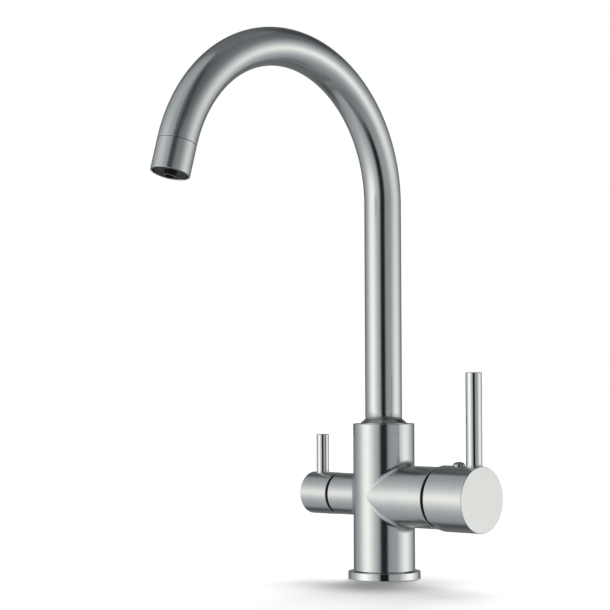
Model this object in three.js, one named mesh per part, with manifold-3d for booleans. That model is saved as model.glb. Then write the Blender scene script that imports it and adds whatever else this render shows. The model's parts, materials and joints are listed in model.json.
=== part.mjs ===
// Three way kitchen tap for hot, cold and filtered water. Millimetres, +Z up.
// The origin is the centre of the base on the worktop. The spout points to -Y, the mixer handle
// to +X and the handle of the filtered water to -X.
import * as THREE from "three";
import { mergeVertices } from "three/addons/utils/BufferGeometryUtils.js";
import Module from "manifold-3d";

const wasm = await Module();
wasm.setup();

// ---------------------------------------------------------------- driving dimensions

// Fits and edges
const clearance = 0.3; // gap between neighbouring pieces
const edgeBreak = 0.5; // chamfer of the outer edges
const smallEdgeBreak = 0.3; // chamfer of the rims that face a gap

// Number of sides of the round forms
const fineSides = 36;
const tubeSides = 24;
const innerSides = 24;
const roundSides = 18;
const smallSides = 14;
const boreSides = 10;
const drillSides = 8;
const sectionSides = 6;
const bendSteps = 20;
const filterBendSteps = 12;
const filletSteps = 3;

// Cast body: column, base and the two side necks
const columnRadius = 20.8;
const handleHeight = 55.8; // axis of both handles above the worktop
const neckToTop = 28.2; // top of the mixer neck to the top of the column
const mixerNeckInset = 0.15; // the mixer neck is this much slimmer than the column
const mixerNeckEnd = 49.8; // measured from the column axis, as all side distances are
const mixerNeckWall = 2.85;
const filterNeckRadius = 14.2;
const filterNeckEnd = 39.6;
const filterNeckWall = 4.7;
const filterBoreFloor = 12;
const filletRadius = 4.2; // ball that rolls along the joint of neck and column

// Base
const baseRingRadius = 24.5;
const baseRingHeight = 5;
const baseSpigotRadius = 16.9; // foot of the casting, inside the base ring
const sealWidth = 3; // flat seal midway between the base ring's bore and its outside
const sealHeight = 1.5;

// Inlets in the underside: three hose sockets and the hole of the fixing stud
const inletCircleRadius = 10;
const hoseSocketRadius = 4.5;
const hoseSocketDepth = 12;
const studHoleRadius = 3.4;
const studHoleDepth = 20;

// Waterways inside the casting
const waterwayRadius = 2.5;
const filterWaterwayRadius = 1.8;
const mixerInletDrop = 5.6; // inlet ports of the mixer below the handle axis
const mixerOutletRise = 8.4; // outlet port of the mixer above the handle axis
const outletRiserOffset = 9; // riser of the mixed water from the column axis
const collectorWidth = 5; // ring groove under the spout foot that collects the mixed water
const collectorDepth = 1.5;

// Socket of the swivelling spout
const socketWall = 4.8;
const socketDepth = 26.6;
const spigotSocketRadius = 4.3;
const spigotSocketDepth = 8.3;
const lockScrewHeight = 11.4; // above the floor of the socket
const lockScrewRadius = 2.4;
const lockNoseRadius = 1.3;
const lockNoseLength = 1.2;

// Spout
const tubeRadius = 12.5;
const tubeWall = 1.2;
const bendRadius = 97;
const bendAngle = THREE.MathUtils.degToRad(163.6);
const overallHeight = 363;
const footSpigotLength = 12; // part of the foot inside the tube
const footBore = 9;
const footFloorThickness = 4;
const footPortCircle = 7.2;
const footPortRadius = 1.6;
const footPortCount = 4;
const ringGrooveDepth = 2.2;
const ringGrooveWidth = 2.4;
const bearingThickness = 1.4;
const bearingWidth = 2.2;
const grooveMargin = 1.4; // land between two grooves of the foot
const coneHeight = 2.8; // above the column
const coneEdge = 0.4; // upright edge of the cone ring above the column
const coneTopLand = 0.3;
const coneSkirt = 3.3; // part of the cone ring inside the socket

// Filtered water line through the spout
const filterTubeRadius = 3.2;
const filterTubeWall = 0.9;
const barbLength = 8;
const barbWall = 0.8;
const nippleSeatLength = 7;

// Outlet
const collarLength = 20.3;
const collarWall = 1.2;
const collarLip = 0.7; // inward step that holds the insert
const collarLipHeight = 1;
const endNippleInsert = 5; // part inside the spout tube
const endNippleThread = 7; // part inside the collar
const endNippleWall = 2.4;
const gasketThickness = 1.4;
const insertPlate = 3;
const insertSkirt = 1.1;
const nozzleRadius = 3.5;
const nozzleOverhang = 2.5;
const nozzleFlange = 1.3;
const nozzleFlangeHeight = 1.5;
const cellSize = 1.4;
const cellRings = 2;
const cellPitch = 2.3;

// Mixer cartridge, clamped in its bore by a nut that ends at the ring in the handle's gap
const portGasket = 1.2;
const housingBase = 2.5;
const housingWall = 2.3;
const housingLength = 21.4;
const pegRadius = 1.5;
const pegCircle = 14.2;
const pegLength = 4;
const mixerPortRadius = 2.6;
const fixedDiscThickness = 4;
const movingDiscThickness = 5;
const movingDiscRadius = 12;
const mixingPocketRadius = 5.5;
const mixingPocketDepth = 0.9;
const mixingPocketRise = 2.5;
const cartridgeNutLength = 10;
const cartridgeNutBore = 12;
const turretNeckLength = 9;
const pivotInset = 4.2; // axis on which the handle tips, below the open end of the housing
const pivotPinRadius = 1.5;
const stemSize = 7;
const stemReach = 17; // into the cap, from its rim
const stemBallRadius = 2.2;
const stemBallInset = 1; // centre of the ball below the face of the moving disc
const stemNeckRadius = 1.5;
const tipAngle = THREE.MathUtils.degToRad(20);

// Mixer handle; its depths and places are counted from the rim of the cap
const capGap = 3.2;
const capOverhang = 1.2;
const capLength = 32.3;
const capWall = 2.9;
const capEndThickness = 10.4;
const capBossRadius = 8;
const capBossDepth = 7;
const reliefStart = 14; // the rim is cut away obliquely below this distance from the axis
const reliefAngle = THREE.MathUtils.degToRad(27);
const mixerLeverRadius = 5.35;
const mixerLeverPlace = 25.8;
const mixerLeverTop = 83.2; // above the handle axis
const mixerLeverSpigot = 2.9;
const leverSpigotDepth = 8;
const grubRadius = 2.2;
const grubPlace = 13;
const plugRadius = 3.9;
const plugSpigotRadius = 3.2;
const plugRise = 2.6;
const plugEdge = 0.4; // upright edge of the plug under its dome
const gapRingInset = 2.1; // the dark ring in the gap is this much slimmer than the neck
const gapRingFlange = 2.2;
const gapRingSpigot = 1.3;

// Filtered water valve and its handle; places on the knob are counted from its rim
const valveSeal = 1.2;
const valveSealWidth = 2.6;
const valveRecess = 1.8; // of the valve body below the end of the neck
const valveChamberDepth = 10.4;
const valveWall = 2;
const valveDiscThickness = 2.8;
const valveDiscPort = 1.7;
const valveDiscPortCircle = 3.8;
const spindleRadius = 4;
const spindleFlange = 2.8;
const spindleGrooveDepth = 1.4;
const spindleGrooveWidth = 1.6;
const spindleSquare = 6;
const spindleRoundReach = 0.5;
const spindleReach = 15.5;
const filterGap = 1.9;
const filterRingInset = 1.8;
const filterRingFlange = 1.3;
const knobOverhang = 0.2;
const knobLength = 23.8;
const knobWall = 2.4;
const knobSkirt = 5;
const knobScrewPlace = 9.8;
const knobScrewRadius = 2;
const knobScrewLength = 6;
const filterLeverRadius = 4.3;
const filterLeverPlace = 15.5;
const filterLeverTop = 40.7; // above the handle axis
const filterLeverSpigot = 2.2;

// ---------------------------------------------------------------- sizes that follow

const mixerNeckRadius = columnRadius - mixerNeckInset;
const mixerBoreRadius = mixerNeckRadius - mixerNeckWall;
const filterBoreRadius = filterNeckRadius - filterNeckWall;
const columnTop = handleHeight + mixerNeckRadius + neckToTop;
const columnFoot = baseRingHeight + clearance;
const socketRadius = columnRadius - socketWall;
const socketFloor = columnTop - socketDepth;
const footRadius = socketRadius - clearance;
const footBottom = socketFloor + clearance;
const footTop = columnTop - coneSkirt - clearance;
const tubeInnerRadius = tubeRadius - tubeWall;
const tubeBottom = footTop + clearance;
const bendHeight = overallHeight - bendRadius - tubeRadius;
const filterTubeBore = filterTubeRadius - filterTubeWall;
const barbRadius = filterTubeBore - clearance;
const lockHeight = socketFloor + lockScrewHeight;
const baseBore = baseSpigotRadius + clearance;
const sealMiddle = (baseBore + baseRingRadius) / 2;
const sealInnerRadius = sealMiddle - sealWidth / 2;
const sealOuterRadius = sealMiddle + sealWidth / 2;
const gapRingRadius = mixerNeckRadius - gapRingInset;
const filterRingRadius = filterNeckRadius - filterRingInset;
const inletPlace = inletCircleRadius * Math.SQRT1_2;
const pinHoleRadius = pivotPinRadius + clearance;
const stemSocket = stemSize / 2 + clearance;

// Stations of the mixer side, measured outward from the column axis
const nutEnd = mixerNeckEnd - gapRingSpigot;
const nutStart = nutEnd - cartridgeNutLength;
const housingEnd = nutStart - clearance;
const housingStart = housingEnd - housingLength;
const portGasketStart = housingStart - clearance - portGasket;
const mixerBoreFloor = portGasketStart - clearance;
const housingRadius = mixerBoreRadius - clearance;
const chamberRadius = housingRadius - housingWall;
const fixedDiscStart = housingStart + housingBase + clearance;
const movingDiscStart = fixedDiscStart + fixedDiscThickness + clearance;
const turretStart = movingDiscStart + movingDiscThickness + clearance;
const stemBallDistance = movingDiscStart + movingDiscThickness - stemBallInset;
const pivotDistance = housingEnd - pivotInset;
const capStart = mixerNeckEnd + capGap;
const capEnd = capStart + capLength;
const capBossStart = capStart + capBossDepth;
const stemEnd = capStart + stemReach;
const grubDistance = capStart + grubPlace;
const mixerLeverDistance = capStart + mixerLeverPlace;
const capRadius = mixerNeckRadius + capOverhang;
const capBore = capRadius - capWall;

// Stations of the filter side, measured outward from the column axis
const valveSealStart = filterBoreFloor + clearance;
const valveStart = valveSealStart + valveSeal + clearance;
const valveEnd = filterNeckEnd - valveRecess;
const valveRadius = filterBoreRadius - clearance;
const valveChamber = valveRadius - valveWall;
const valveChamberEnd = valveStart + valveChamberDepth;
const turningDiscStart = valveStart + valveDiscThickness + clearance;
const spindleStart = turningDiscStart + valveDiscThickness + clearance;
const knobStart = filterNeckEnd + filterGap;
const knobEnd = knobStart + knobLength;
const spindleRoundEnd = knobStart + spindleRoundReach;
const spindleEnd = knobStart + spindleReach;
const knobScrewDistance = knobStart + knobScrewPlace;
const filterLeverDistance = knobStart + filterLeverPlace;
const knobRadius = filterNeckRadius + knobOverhang;

// Stations of the outlet, measured against the stream from the end of the bend
const rimLevel = -collarLength;
const insertLevel = rimLevel + collarLipHeight + clearance;
const endNippleLevel = -endNippleThread;
const gasketLevel = endNippleLevel - clearance - gasketThickness;
const insertTop = gasketLevel - clearance;
const collarBore = tubeRadius - collarWall;
const insertRadius = collarBore - clearance;
const plateTop = insertLevel + insertPlate;
const nozzleShoulder = plateTop + clearance;
const nozzleTop = nozzleShoulder + nozzleFlangeHeight;

// ---------------------------------------------------------------- materials

function finish(color, roughness, metalness) {
  return () => new THREE.MeshStandardMaterial({ color, roughness, metalness });
}
const satinNickel = finish(0xa9aaa6, 0.34, 1);
const polishedNickel = finish(0xc4c5c2, 0.12, 1);
const darkNickel = finish(0x6b6a68, 0.16, 1);
const brass = finish(0xb89a5a, 0.35, 1);
const steel = finish(0x9a9c9e, 0.3, 1);
const blackPlastic = finish(0x16171a, 0.5, 0);
const whitePlastic = finish(0xe4e4de, 0.45, 0);
const ceramic = finish(0xe9e6dc, 0.2, 0);
const rubber = finish(0x1c1c1d, 0.7, 0);

// ---------------------------------------------------------------- shape helpers

// A solid turned round +Z. The profile lists [radius, height] anticlockwise; one that leaves the
// axis free is closed on itself.
function turned(profile, sides) {
  const points = profile.map(([radius, height]) => new THREE.Vector2(radius, height));
  if (points[0].x > 0) {
    points.push(points[0].clone());
  }
  return new THREE.LatheGeometry(points, sides).rotateX(Math.PI / 2);
}

function rod(radius, from, to, sides) {
  return turned([[0, from], [radius, from], [radius, to], [0, to]], sides);
}

// A rod whose two ends are chamfered by the given amounts.
function chamferedRod(radius, from, to, chamferFrom, chamferTo, sides) {
  return turned([
    [0, from],
    [radius - chamferFrom, from],
    [radius, from + chamferFrom],
    [radius, to - chamferTo],
    [radius - chamferTo, to],
    [0, to],
  ], sides);
}

function pipe(bore, radius, from, to, sides) {
  return turned([[bore, from], [radius, from], [radius, to], [bore, to]], sides);
}

// A ring of round section that fills a groove from its floor to the wall that it seals on.
function sealRing(grooveRadius, wallRadius, height, sides) {
  const section = (wallRadius - grooveRadius) / 2 - clearance;
  const middle = (wallRadius + grooveRadius) / 2;
  const profile = [];
  for (let i = 0; i < sectionSides; i += 1) {
    const angle = (i / sectionSides) * 2 * Math.PI;
    profile.push([middle + section * Math.cos(angle), height + section * Math.sin(angle)]);
  }
  return turned(profile, sides);
}

// A prism whose outline lies in the X-Z plane, as deep to both sides of Y.
function prism(outline, halfDepth) {
  const shape = new THREE.Shape(outline.map(([x, z]) => new THREE.Vector2(x, z)));
  const geometry = new THREE.ExtrudeGeometry(shape, { depth: 2 * halfDepth, bevelEnabled: false });
  return geometry.translate(0, 0, -halfDepth).rotateX(Math.PI / 2);
}

function squareBar(size, from, to) {
  return new THREE.BoxGeometry(size, size, to - from).translate(0, 0, (from + to) / 2);
}

// Turns a form from +Z to +X, which is upward in the frame of a handle, and moves it outward.
function standing(geometry, distance) {
  return geometry.rotateY(Math.PI / 2).translate(0, 0, distance);
}

function hanging(geometry, distance) {
  return geometry.rotateY(-Math.PI / 2).translate(0, 0, distance);
}

function toSolid(geometry) {
  const bare = geometry.clone();
  bare.deleteAttribute("normal");
  bare.deleteAttribute("uv");
  const merged = mergeVertices(bare);
  const corners = merged.index.array;
  const triangles = [];
  for (let i = 0; i < corners.length; i += 3) {
    const [a, b, c] = corners.slice(i, i + 3);
    if (a !== b && b !== c && c !== a) {
      triangles.push(a, b, c);
    }
  }
  return new wasm.Manifold(new wasm.Mesh({
    numProp: 3,
    vertProperties: merged.attributes.position.array,
    triVerts: new Uint32Array(triangles),
  }));
}

function toGeometry(solid) {
  const mesh = solid.getMesh();
  const geometry = new THREE.BufferGeometry();
  geometry.setAttribute("position", new THREE.BufferAttribute(mesh.vertProperties, 3));
  geometry.setIndex(new THREE.BufferAttribute(mesh.triVerts, 1));
  geometry.computeVertexNormals();
  return geometry;
}

function join(...geometries) {
  const solids = geometries.map(toSolid);
  return toGeometry(solids.reduce((whole, next) => whole.add(next)));
}

function cut(geometry, ...tools) {
  const solids = tools.map(toSolid);
  return toGeometry(solids.reduce((whole, next) => whole.subtract(next), toSolid(geometry)));
}

// Copies of a form spread evenly round +Z.
function aroundAxis(count, make) {
  return Array.from({ length: count }, (_, i) => make().rotateZ((i / count) * 2 * Math.PI));
}

// ---------------------------------------------------------------- frames

// Frame of a handle: its origin is on the column axis, +Z points outward and +X upward.
function handleFrame(side) {
  const upward = new THREE.Vector3(0, 0, 1);
  const outward = new THREE.Vector3(side, 0, 0);
  const across = outward.clone().cross(upward);
  return new THREE.Matrix4().makeBasis(upward, across, outward).setPosition(0, 0, handleHeight);
}

const mixerFrame = handleFrame(1);
const filterFrame = handleFrame(-1);

// Frame of the outlet: its origin is at the end of the bend and +Z points against the stream.
const outletFrame = new THREE.Matrix4()
  .makeRotationX(bendAngle - Math.PI)
  .setPosition(0, bendRadius * (Math.cos(bendAngle) - 1), bendHeight + bendRadius * Math.sin(bendAngle));

// ---------------------------------------------------------------- cast body

// Ring that blends a neck into the column: the arc of a ball rolling in the corner of both, closed
// by a point inside the metal. It stands in the frame of the neck.
function neckFillet(neckRadius) {
  const sagitta = columnRadius * (1 - Math.cos(Math.PI / fineSides));
  const sunk = 1.5 * sagitta; // the ring reaches this far into both walls, to be one body with them
  const inside = 1;
  const ring = [];
  for (let i = 0; i < fineSides; i += 1) {
    const angle = (i / fineSides) * 2 * Math.PI;
    const onSaddle = (offset) => {
      const x = (neckRadius + offset) * Math.cos(angle);
      const y = (neckRadius + offset) * Math.sin(angle);
      return new THREE.Vector3(x, y, Math.sqrt((columnRadius + offset) ** 2 - y ** 2));
    };
    const centre = onSaddle(filletRadius);
    const toColumn = new THREE.Vector3(0, -centre.y, -centre.z).normalize();
    const toNeck = new THREE.Vector3(-centre.x, -centre.y, 0).normalize();
    const opening = toColumn.angleTo(toNeck);
    for (let step = 0; step <= filletSteps; step += 1) {
      const share = step / filletSteps;
      const direction = toColumn.clone().multiplyScalar(Math.sin((1 - share) * opening))
        .addScaledVector(toNeck, Math.sin(share * opening))
        .normalize();
      ring.push(centre.clone().addScaledVector(direction, filletRadius + sunk));
    }
    ring.push(onSaddle(-inside));
  }
  return closedRing(ring, filletSteps + 2);
}

// Skin of a ring given as equal sections one after the other.
function closedRing(points, perSection) {
  const sections = points.length / perSection;
  const index = [];
  for (let i = 0; i < sections; i += 1) {
    const next = (i + 1) % sections;
    for (let j = 0; j < perSection; j += 1) {
      const side = (j + 1) % perSection;
      const [a, b] = [i * perSection + j, i * perSection + side];
      const [c, d] = [next * perSection + j, next * perSection + side];
      index.push(a, c, b, b, c, d);
    }
  }
  const geometry = new THREE.BufferGeometry().setFromPoints(points);
  geometry.setIndex(index);
  return geometry;
}

function columnBlank() {
  return turned([
    [0, 0],
    [baseSpigotRadius, 0],
    [baseSpigotRadius, columnFoot],
    [columnRadius - smallEdgeBreak, columnFoot],
    [columnRadius, columnFoot + smallEdgeBreak],
    [columnRadius, columnTop - edgeBreak],
    [columnRadius - edgeBreak, columnTop],
    [0, columnTop],
  ], fineSides);
}

function inlet(radius, depth, xSide, ySide) {
  return rod(radius, -1, depth, smallSides).translate(xSide * inletPlace, ySide * inletPlace, 0);
}

// A drilled channel that rises from one level to another.
function riser(radius, x, y, from, to) {
  return rod(radius, from, to, drillSides).translate(x, y, 0);
}

function bodyCasting() {
  const mixerNeck = chamferedRod(mixerNeckRadius, 0, mixerNeckEnd, 0, smallEdgeBreak, fineSides);
  const filterNeck = chamferedRod(filterNeckRadius, 0, filterNeckEnd, 0, smallEdgeBreak, fineSides);
  const outside = join(
    columnBlank(),
    mixerNeck.applyMatrix4(mixerFrame),
    filterNeck.applyMatrix4(filterFrame),
    neckFillet(mixerNeckRadius).applyMatrix4(mixerFrame),
    neckFillet(filterNeckRadius).applyMatrix4(filterFrame),
  );
  return cut(outside, ...spoutSocket(), ...inlets(), ...mixerBore(), ...filterBore(), ...risers());
}

function spoutSocket() {
  const collectorStart = spigotSocketRadius + waterwayRadius;
  const lockHole = rod(lockScrewRadius + clearance, 0, columnRadius + 1, boreSides);
  return [
    rod(socketRadius, socketFloor, columnTop + 1, innerSides),
    rod(spigotSocketRadius, socketFloor - spigotSocketDepth, socketFloor + 1, smallSides),
    pipe(collectorStart, collectorStart + collectorWidth, socketFloor - collectorDepth,
      socketFloor + 1, roundSides),
    lockHole.rotateX(-Math.PI / 2).translate(0, 0, lockHeight),
  ];
}

function inlets() {
  return [
    inlet(hoseSocketRadius, hoseSocketDepth, 1, 1),
    inlet(hoseSocketRadius, hoseSocketDepth, 1, -1),
    inlet(hoseSocketRadius, hoseSocketDepth, -1, 1),
    inlet(studHoleRadius, studHoleDepth, -1, -1),
  ];
}

// The ports of the mixer on the floor of its bore, in the frame of the neck.
function mixerPorts(radius, from, to) {
  const port = (x, y) => rod(radius, from, to, drillSides).translate(x, y, 0);
  return [
    port(-mixerInletDrop, inletPlace),
    port(-mixerInletDrop, -inletPlace),
    port(mixerOutletRise, 0),
  ];
}

function pegs(radius, from, to) {
  return [1, -1].map((side) => rod(radius, from, to, drillSides).translate(0, side * pegCircle, 0));
}

function mixerBore() {
  const tools = [
    rod(mixerBoreRadius, mixerBoreFloor, mixerNeckEnd + 1, innerSides),
    ...mixerPorts(waterwayRadius, inletPlace, mixerBoreFloor + 1),
    ...pegs(pegRadius + clearance, housingStart - pegLength - clearance, mixerBoreFloor + 1),
  ];
  return tools.map((tool) => tool.applyMatrix4(mixerFrame));
}

function filterPorts(radius, from, to) {
  return [1, -1].map((side) => rod(radius, from, to, drillSides)
    .translate(0, side * valveDiscPortCircle, 0));
}

function filterBore() {
  const [inletPort, outletPort] = filterPorts(filterWaterwayRadius, inletPlace, filterBoreFloor + 1);
  const outletReach = filterPorts(filterWaterwayRadius, 0, inletPlace + 1)[1];
  const tools = [
    rod(filterBoreRadius, filterBoreFloor, filterNeckEnd + 1, roundSides),
    inletPort,
    outletPort,
    outletReach,
  ];
  return tools.map((tool) => tool.applyMatrix4(filterFrame));
}

function risers() {
  const inletTop = handleHeight - mixerInletDrop + waterwayRadius;
  const collector = socketFloor - collectorDepth + clearance;
  return [
    riser(waterwayRadius, inletPlace, inletPlace, hoseSocketDepth - 1, inletTop),
    riser(waterwayRadius, inletPlace, -inletPlace, hoseSocketDepth - 1, inletTop),
    riser(waterwayRadius, -inletPlace, inletPlace, hoseSocketDepth - 1,
      handleHeight + filterWaterwayRadius),
    riser(waterwayRadius, outletRiserOffset, 0, handleHeight + mixerOutletRise, collector),
    riser(waterwayRadius, 0, 0, handleHeight - filterWaterwayRadius,
      socketFloor - spigotSocketDepth + clearance),
  ];
}

// ---------------------------------------------------------------- base

function baseRing() {
  const grooveTop = sealHeight + clearance;
  return turned([
    [baseBore, 0],
    [sealInnerRadius - clearance, 0],
    [sealInnerRadius - clearance, grooveTop],
    [sealOuterRadius + clearance, grooveTop],
    [sealOuterRadius + clearance, 0],
    [baseRingRadius - smallEdgeBreak, 0],
    [baseRingRadius, smallEdgeBreak],
    [baseRingRadius, baseRingHeight - edgeBreak],
    [baseRingRadius - edgeBreak, baseRingHeight],
    [baseBore, baseRingHeight],
  ], fineSides);
}

function baseSeal() {
  return pipe(sealInnerRadius, sealOuterRadius, 0, sealHeight, roundSides);
}

// Grub screw at the back of the column, with its nose in the groove of the spout foot.
function lockScrew() {
  const shoulder = socketRadius + clearance;
  const end = columnRadius - clearance;
  const screw = turned([
    [0, shoulder - lockNoseLength],
    [lockNoseRadius, shoulder - lockNoseLength],
    [lockNoseRadius, shoulder],
    [lockScrewRadius, shoulder],
    [lockScrewRadius, end],
    [0, end],
  ], boreSides);
  return cut(screw, hexSocket(lockScrewRadius, end));
}

// Six-sided socket in the end of a screw.
function hexSocket(screwRadius, end) {
  return rod(screwRadius / 2, end - screwRadius, end + 1, 6);
}

// ---------------------------------------------------------------- spout

// The middle line of the spout: a riser, the bend and a straight end. Its parameter counts steps:
// the straight stretches take one step each and the bend takes the others.
class SpoutLine extends THREE.Curve {
  constructor(bottom, stepsInBend, tail) {
    super();
    this.bottom = bottom;
    this.bendSteps = stepsInBend;
    this.tail = tail;
    this.steps = stepsInBend + (tail > 0 ? 2 : 1);
  }

  angleAt(t) {
    const share = (t * this.steps - 1) / this.bendSteps;
    return bendAngle * THREE.MathUtils.clamp(share, 0, 1);
  }

  getPoint(t) {
    const angle = this.angleAt(t);
    const below = Math.max(0, 1 - t * this.steps) * (bendHeight - this.bottom);
    const past = Math.max(0, t * this.steps - 1 - this.bendSteps) * this.tail;
    const y = bendRadius * (Math.cos(angle) - 1) - past * Math.sin(angle);
    const z = bendHeight + bendRadius * Math.sin(angle) - below + past * Math.cos(angle);
    return new THREE.Vector3(0, y, z);
  }

  getTangent(t) {
    const angle = this.angleAt(t);
    return new THREE.Vector3(0, -Math.sin(angle), Math.cos(angle));
  }

  getUtoTmapping(u) {
    return u;
  }
}

function circle(radius, sides) {
  return Array.from({ length: sides }, (_, i) => {
    const angle = (i / sides) * 2 * Math.PI;
    return new THREE.Vector2(radius * Math.cos(angle), radius * Math.sin(angle));
  });
}

function tubeAlong(line, radius, bore, sides, holeSides) {
  const section = new THREE.Shape(circle(radius, sides));
  section.holes.push(new THREE.Path(circle(bore, holeSides)));
  return new THREE.ExtrudeGeometry(section, { steps: line.steps, extrudePath: line });
}

function spoutTube() {
  return tubeAlong(new SpoutLine(tubeBottom, bendSteps, 0), tubeRadius, tubeInnerRadius,
    tubeSides, roundSides);
}

// Levels of the grooves round the spout foot, from its bottom upward.
const lowerBearingLevel = footBottom + grooveMargin;
const lowerRingLevel = lowerBearingLevel + bearingWidth + 2 * clearance + grooveMargin;
const upperBearingLevel = footTop - grooveMargin - bearingWidth - 2 * clearance;
const upperRingLevel = upperBearingLevel - grooveMargin - ringGrooveWidth;
const lockGrooveHalf = lockNoseRadius + clearance;
const ringGrooveRadius = footRadius - ringGrooveDepth;
const bearingGrooveRadius = footRadius - bearingThickness;

// Corners of a groove in an outline that runs upward along a wall.
function groove(wallRadius, grooveRadius, from, to) {
  return [[wallRadius, from], [grooveRadius, from], [grooveRadius, to], [wallRadius, to]];
}

function spoutFoot() {
  const spigotRadius = spigotSocketRadius - clearance;
  const spigotBottom = socketFloor - spigotSocketDepth + clearance;
  const spigotRing = socketFloor - spigotSocketDepth / 2;
  const bearingHeight = bearingWidth + 2 * clearance;
  const nippleSeat = filterTubeRadius + clearance;
  const body = turned([
    [0, spigotBottom],
    [spigotRadius, spigotBottom],
    ...groove(spigotRadius, spigotRadius - spindleGrooveDepth,
      spigotRing - spindleGrooveWidth / 2, spigotRing + spindleGrooveWidth / 2),
    [spigotRadius, footBottom],
    [footRadius, footBottom],
    ...groove(footRadius, bearingGrooveRadius, lowerBearingLevel, lowerBearingLevel + bearingHeight),
    ...groove(footRadius, ringGrooveRadius, lowerRingLevel, lowerRingLevel + ringGrooveWidth),
    ...groove(footRadius, socketRadius - lockNoseLength - clearance, lockHeight - lockGrooveHalf,
      lockHeight + lockGrooveHalf),
    ...groove(footRadius, ringGrooveRadius, upperRingLevel, upperRingLevel + ringGrooveWidth),
    ...groove(footRadius, bearingGrooveRadius, upperBearingLevel, upperBearingLevel + bearingHeight),
    [footRadius, footTop],
    [tubeInnerRadius - clearance, footTop],
    [tubeInnerRadius - clearance, footTop + footSpigotLength],
    [footBore, footTop + footSpigotLength],
    [footBore, footBottom + footFloorThickness],
    [nippleSeat, footBottom + footFloorThickness],
    [nippleSeat, nippleBottom - clearance],
    [0, nippleBottom - clearance],
  ], roundSides);
  const ports = aroundAxis(footPortCount, () => riser(footPortRadius, footPortCircle, 0,
    footBottom - 1, footBottom + footFloorThickness + 1));
  return cut(body, riser(barbRadius - barbWall, 0, 0, spigotBottom - 1, nippleBottom), ...ports);
}

const nippleBottom = footBottom + footFloorThickness - nippleSeatLength + clearance;
const nippleShoulder = nippleBottom + nippleSeatLength;

// Nipple in the foot that the line of the filtered water is pushed on.
function filterTubeNipple() {
  return turned([
    [barbRadius - barbWall, nippleBottom],
    [filterTubeRadius, nippleBottom],
    [filterTubeRadius, nippleShoulder],
    [barbRadius, nippleShoulder],
    [barbRadius, nippleShoulder + barbLength],
    [barbRadius - barbWall, nippleShoulder + barbLength],
  ], boreSides);
}

function filterTube() {
  const line = new SpoutLine(nippleShoulder + clearance, filterBendSteps, -nozzleTop - clearance);
  return tubeAlong(line, filterTubeRadius, filterTubeBore, drillSides, drillSides);
}

function spoutBearing(level) {
  const bottom = level + clearance;
  const bore = bearingGrooveRadius + clearance;
  return pipe(bore, socketRadius - clearance, bottom, bottom + bearingWidth, roundSides);
}

function coneRing() {
  const bore = tubeRadius + clearance;
  const skirtBottom = columnTop - coneSkirt;
  const top = columnTop + coneHeight;
  return turned([
    [bore, skirtBottom],
    [footRadius, skirtBottom],
    [footRadius, columnTop + coneEdge],
    [bore + coneTopLand, top],
    [bore, top],
  ], innerSides);
}

// ---------------------------------------------------------------- outlet

// Threaded nipple in the end of the spout tube.
function endNipple() {
  const radius = tubeInnerRadius - 2 * clearance;
  return pipe(radius - endNippleWall, radius, endNippleLevel, endNippleInsert, roundSides);
}

function aeratorCollar() {
  const lipTop = rimLevel + collarLipHeight;
  return turned([
    [collarBore - collarLip, rimLevel],
    [tubeRadius - smallEdgeBreak, rimLevel],
    [tubeRadius, rimLevel + smallEdgeBreak],
    [tubeRadius, -clearance],
    [collarBore, -clearance],
    [collarBore, lipTop],
    [collarBore - collarLip, lipTop],
  ], tubeSides);
}

function aeratorGasket() {
  const bore = tubeInnerRadius - 2 * clearance - endNippleWall;
  return pipe(bore, insertRadius, gasketLevel, gasketLevel + gasketThickness, roundSides);
}

// Cup with a grille of cells in its floor and the hole of the nozzle in the middle.
function aeratorInsert() {
  const skirtBore = insertRadius - insertSkirt;
  const nozzleHole = nozzleRadius + clearance;
  const cup = turned([
    [nozzleHole, insertLevel],
    [insertRadius, insertLevel],
    [insertRadius, insertTop],
    [skirtBore, insertTop],
    [skirtBore, plateTop],
    [nozzleHole, plateTop],
  ], roundSides);
  const cells = [];
  for (let ring = 0; ring < cellRings; ring += 1) {
    const circleRadius = nozzleHole + (ring + 1) * cellPitch;
    const count = Math.floor((2 * Math.PI * circleRadius) / cellPitch);
    cells.push(...aroundAxis(count, () => squareBar(cellSize, insertLevel - 1, plateTop + 1)
      .translate(circleRadius, 0, 0)));
  }
  return cut(cup, ...cells);
}

// Nozzle of the filtered water: a tip through the grille and a barb inside the line.
function filterNozzle() {
  const tip = rimLevel - nozzleOverhang;
  const flangeRadius = nozzleRadius + nozzleFlange;
  const channel = barbRadius - barbWall;
  return turned([
    [barbRadius, tip],
    [nozzleRadius - smallEdgeBreak, tip],
    [nozzleRadius, tip + smallEdgeBreak],
    [nozzleRadius, nozzleShoulder],
    [flangeRadius, nozzleShoulder],
    [flangeRadius, nozzleTop],
    [barbRadius, nozzleTop],
    [barbRadius, nozzleTop + barbLength],
    [channel, nozzleTop + barbLength],
    [channel, nozzleShoulder],
    [barbRadius, nozzleShoulder - channel],
  ], smallSides);
}

// ---------------------------------------------------------------- mixer cartridge

function portGasketDisc() {
  const disc = rod(pegCircle - pegRadius - clearance, portGasketStart, portGasketStart + portGasket,
    roundSides);
  return cut(disc, ...mixerPorts(mixerPortRadius, portGasketStart - 1, housingStart));
}

function cartridgeHousing() {
  const chamberFloor = housingStart + housingBase;
  const cup = turned([
    [0, housingStart],
    [housingRadius, housingStart],
    [housingRadius, housingEnd],
    [chamberRadius, housingEnd],
    [chamberRadius, chamberFloor],
    [0, chamberFloor],
  ], roundSides);
  const pegged = join(cup, ...pegs(pegRadius, housingStart - pegLength, housingStart + 1));
  return cut(pegged, ...mixerPorts(mixerPortRadius, housingStart - 1, chamberFloor + 1));
}

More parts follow.
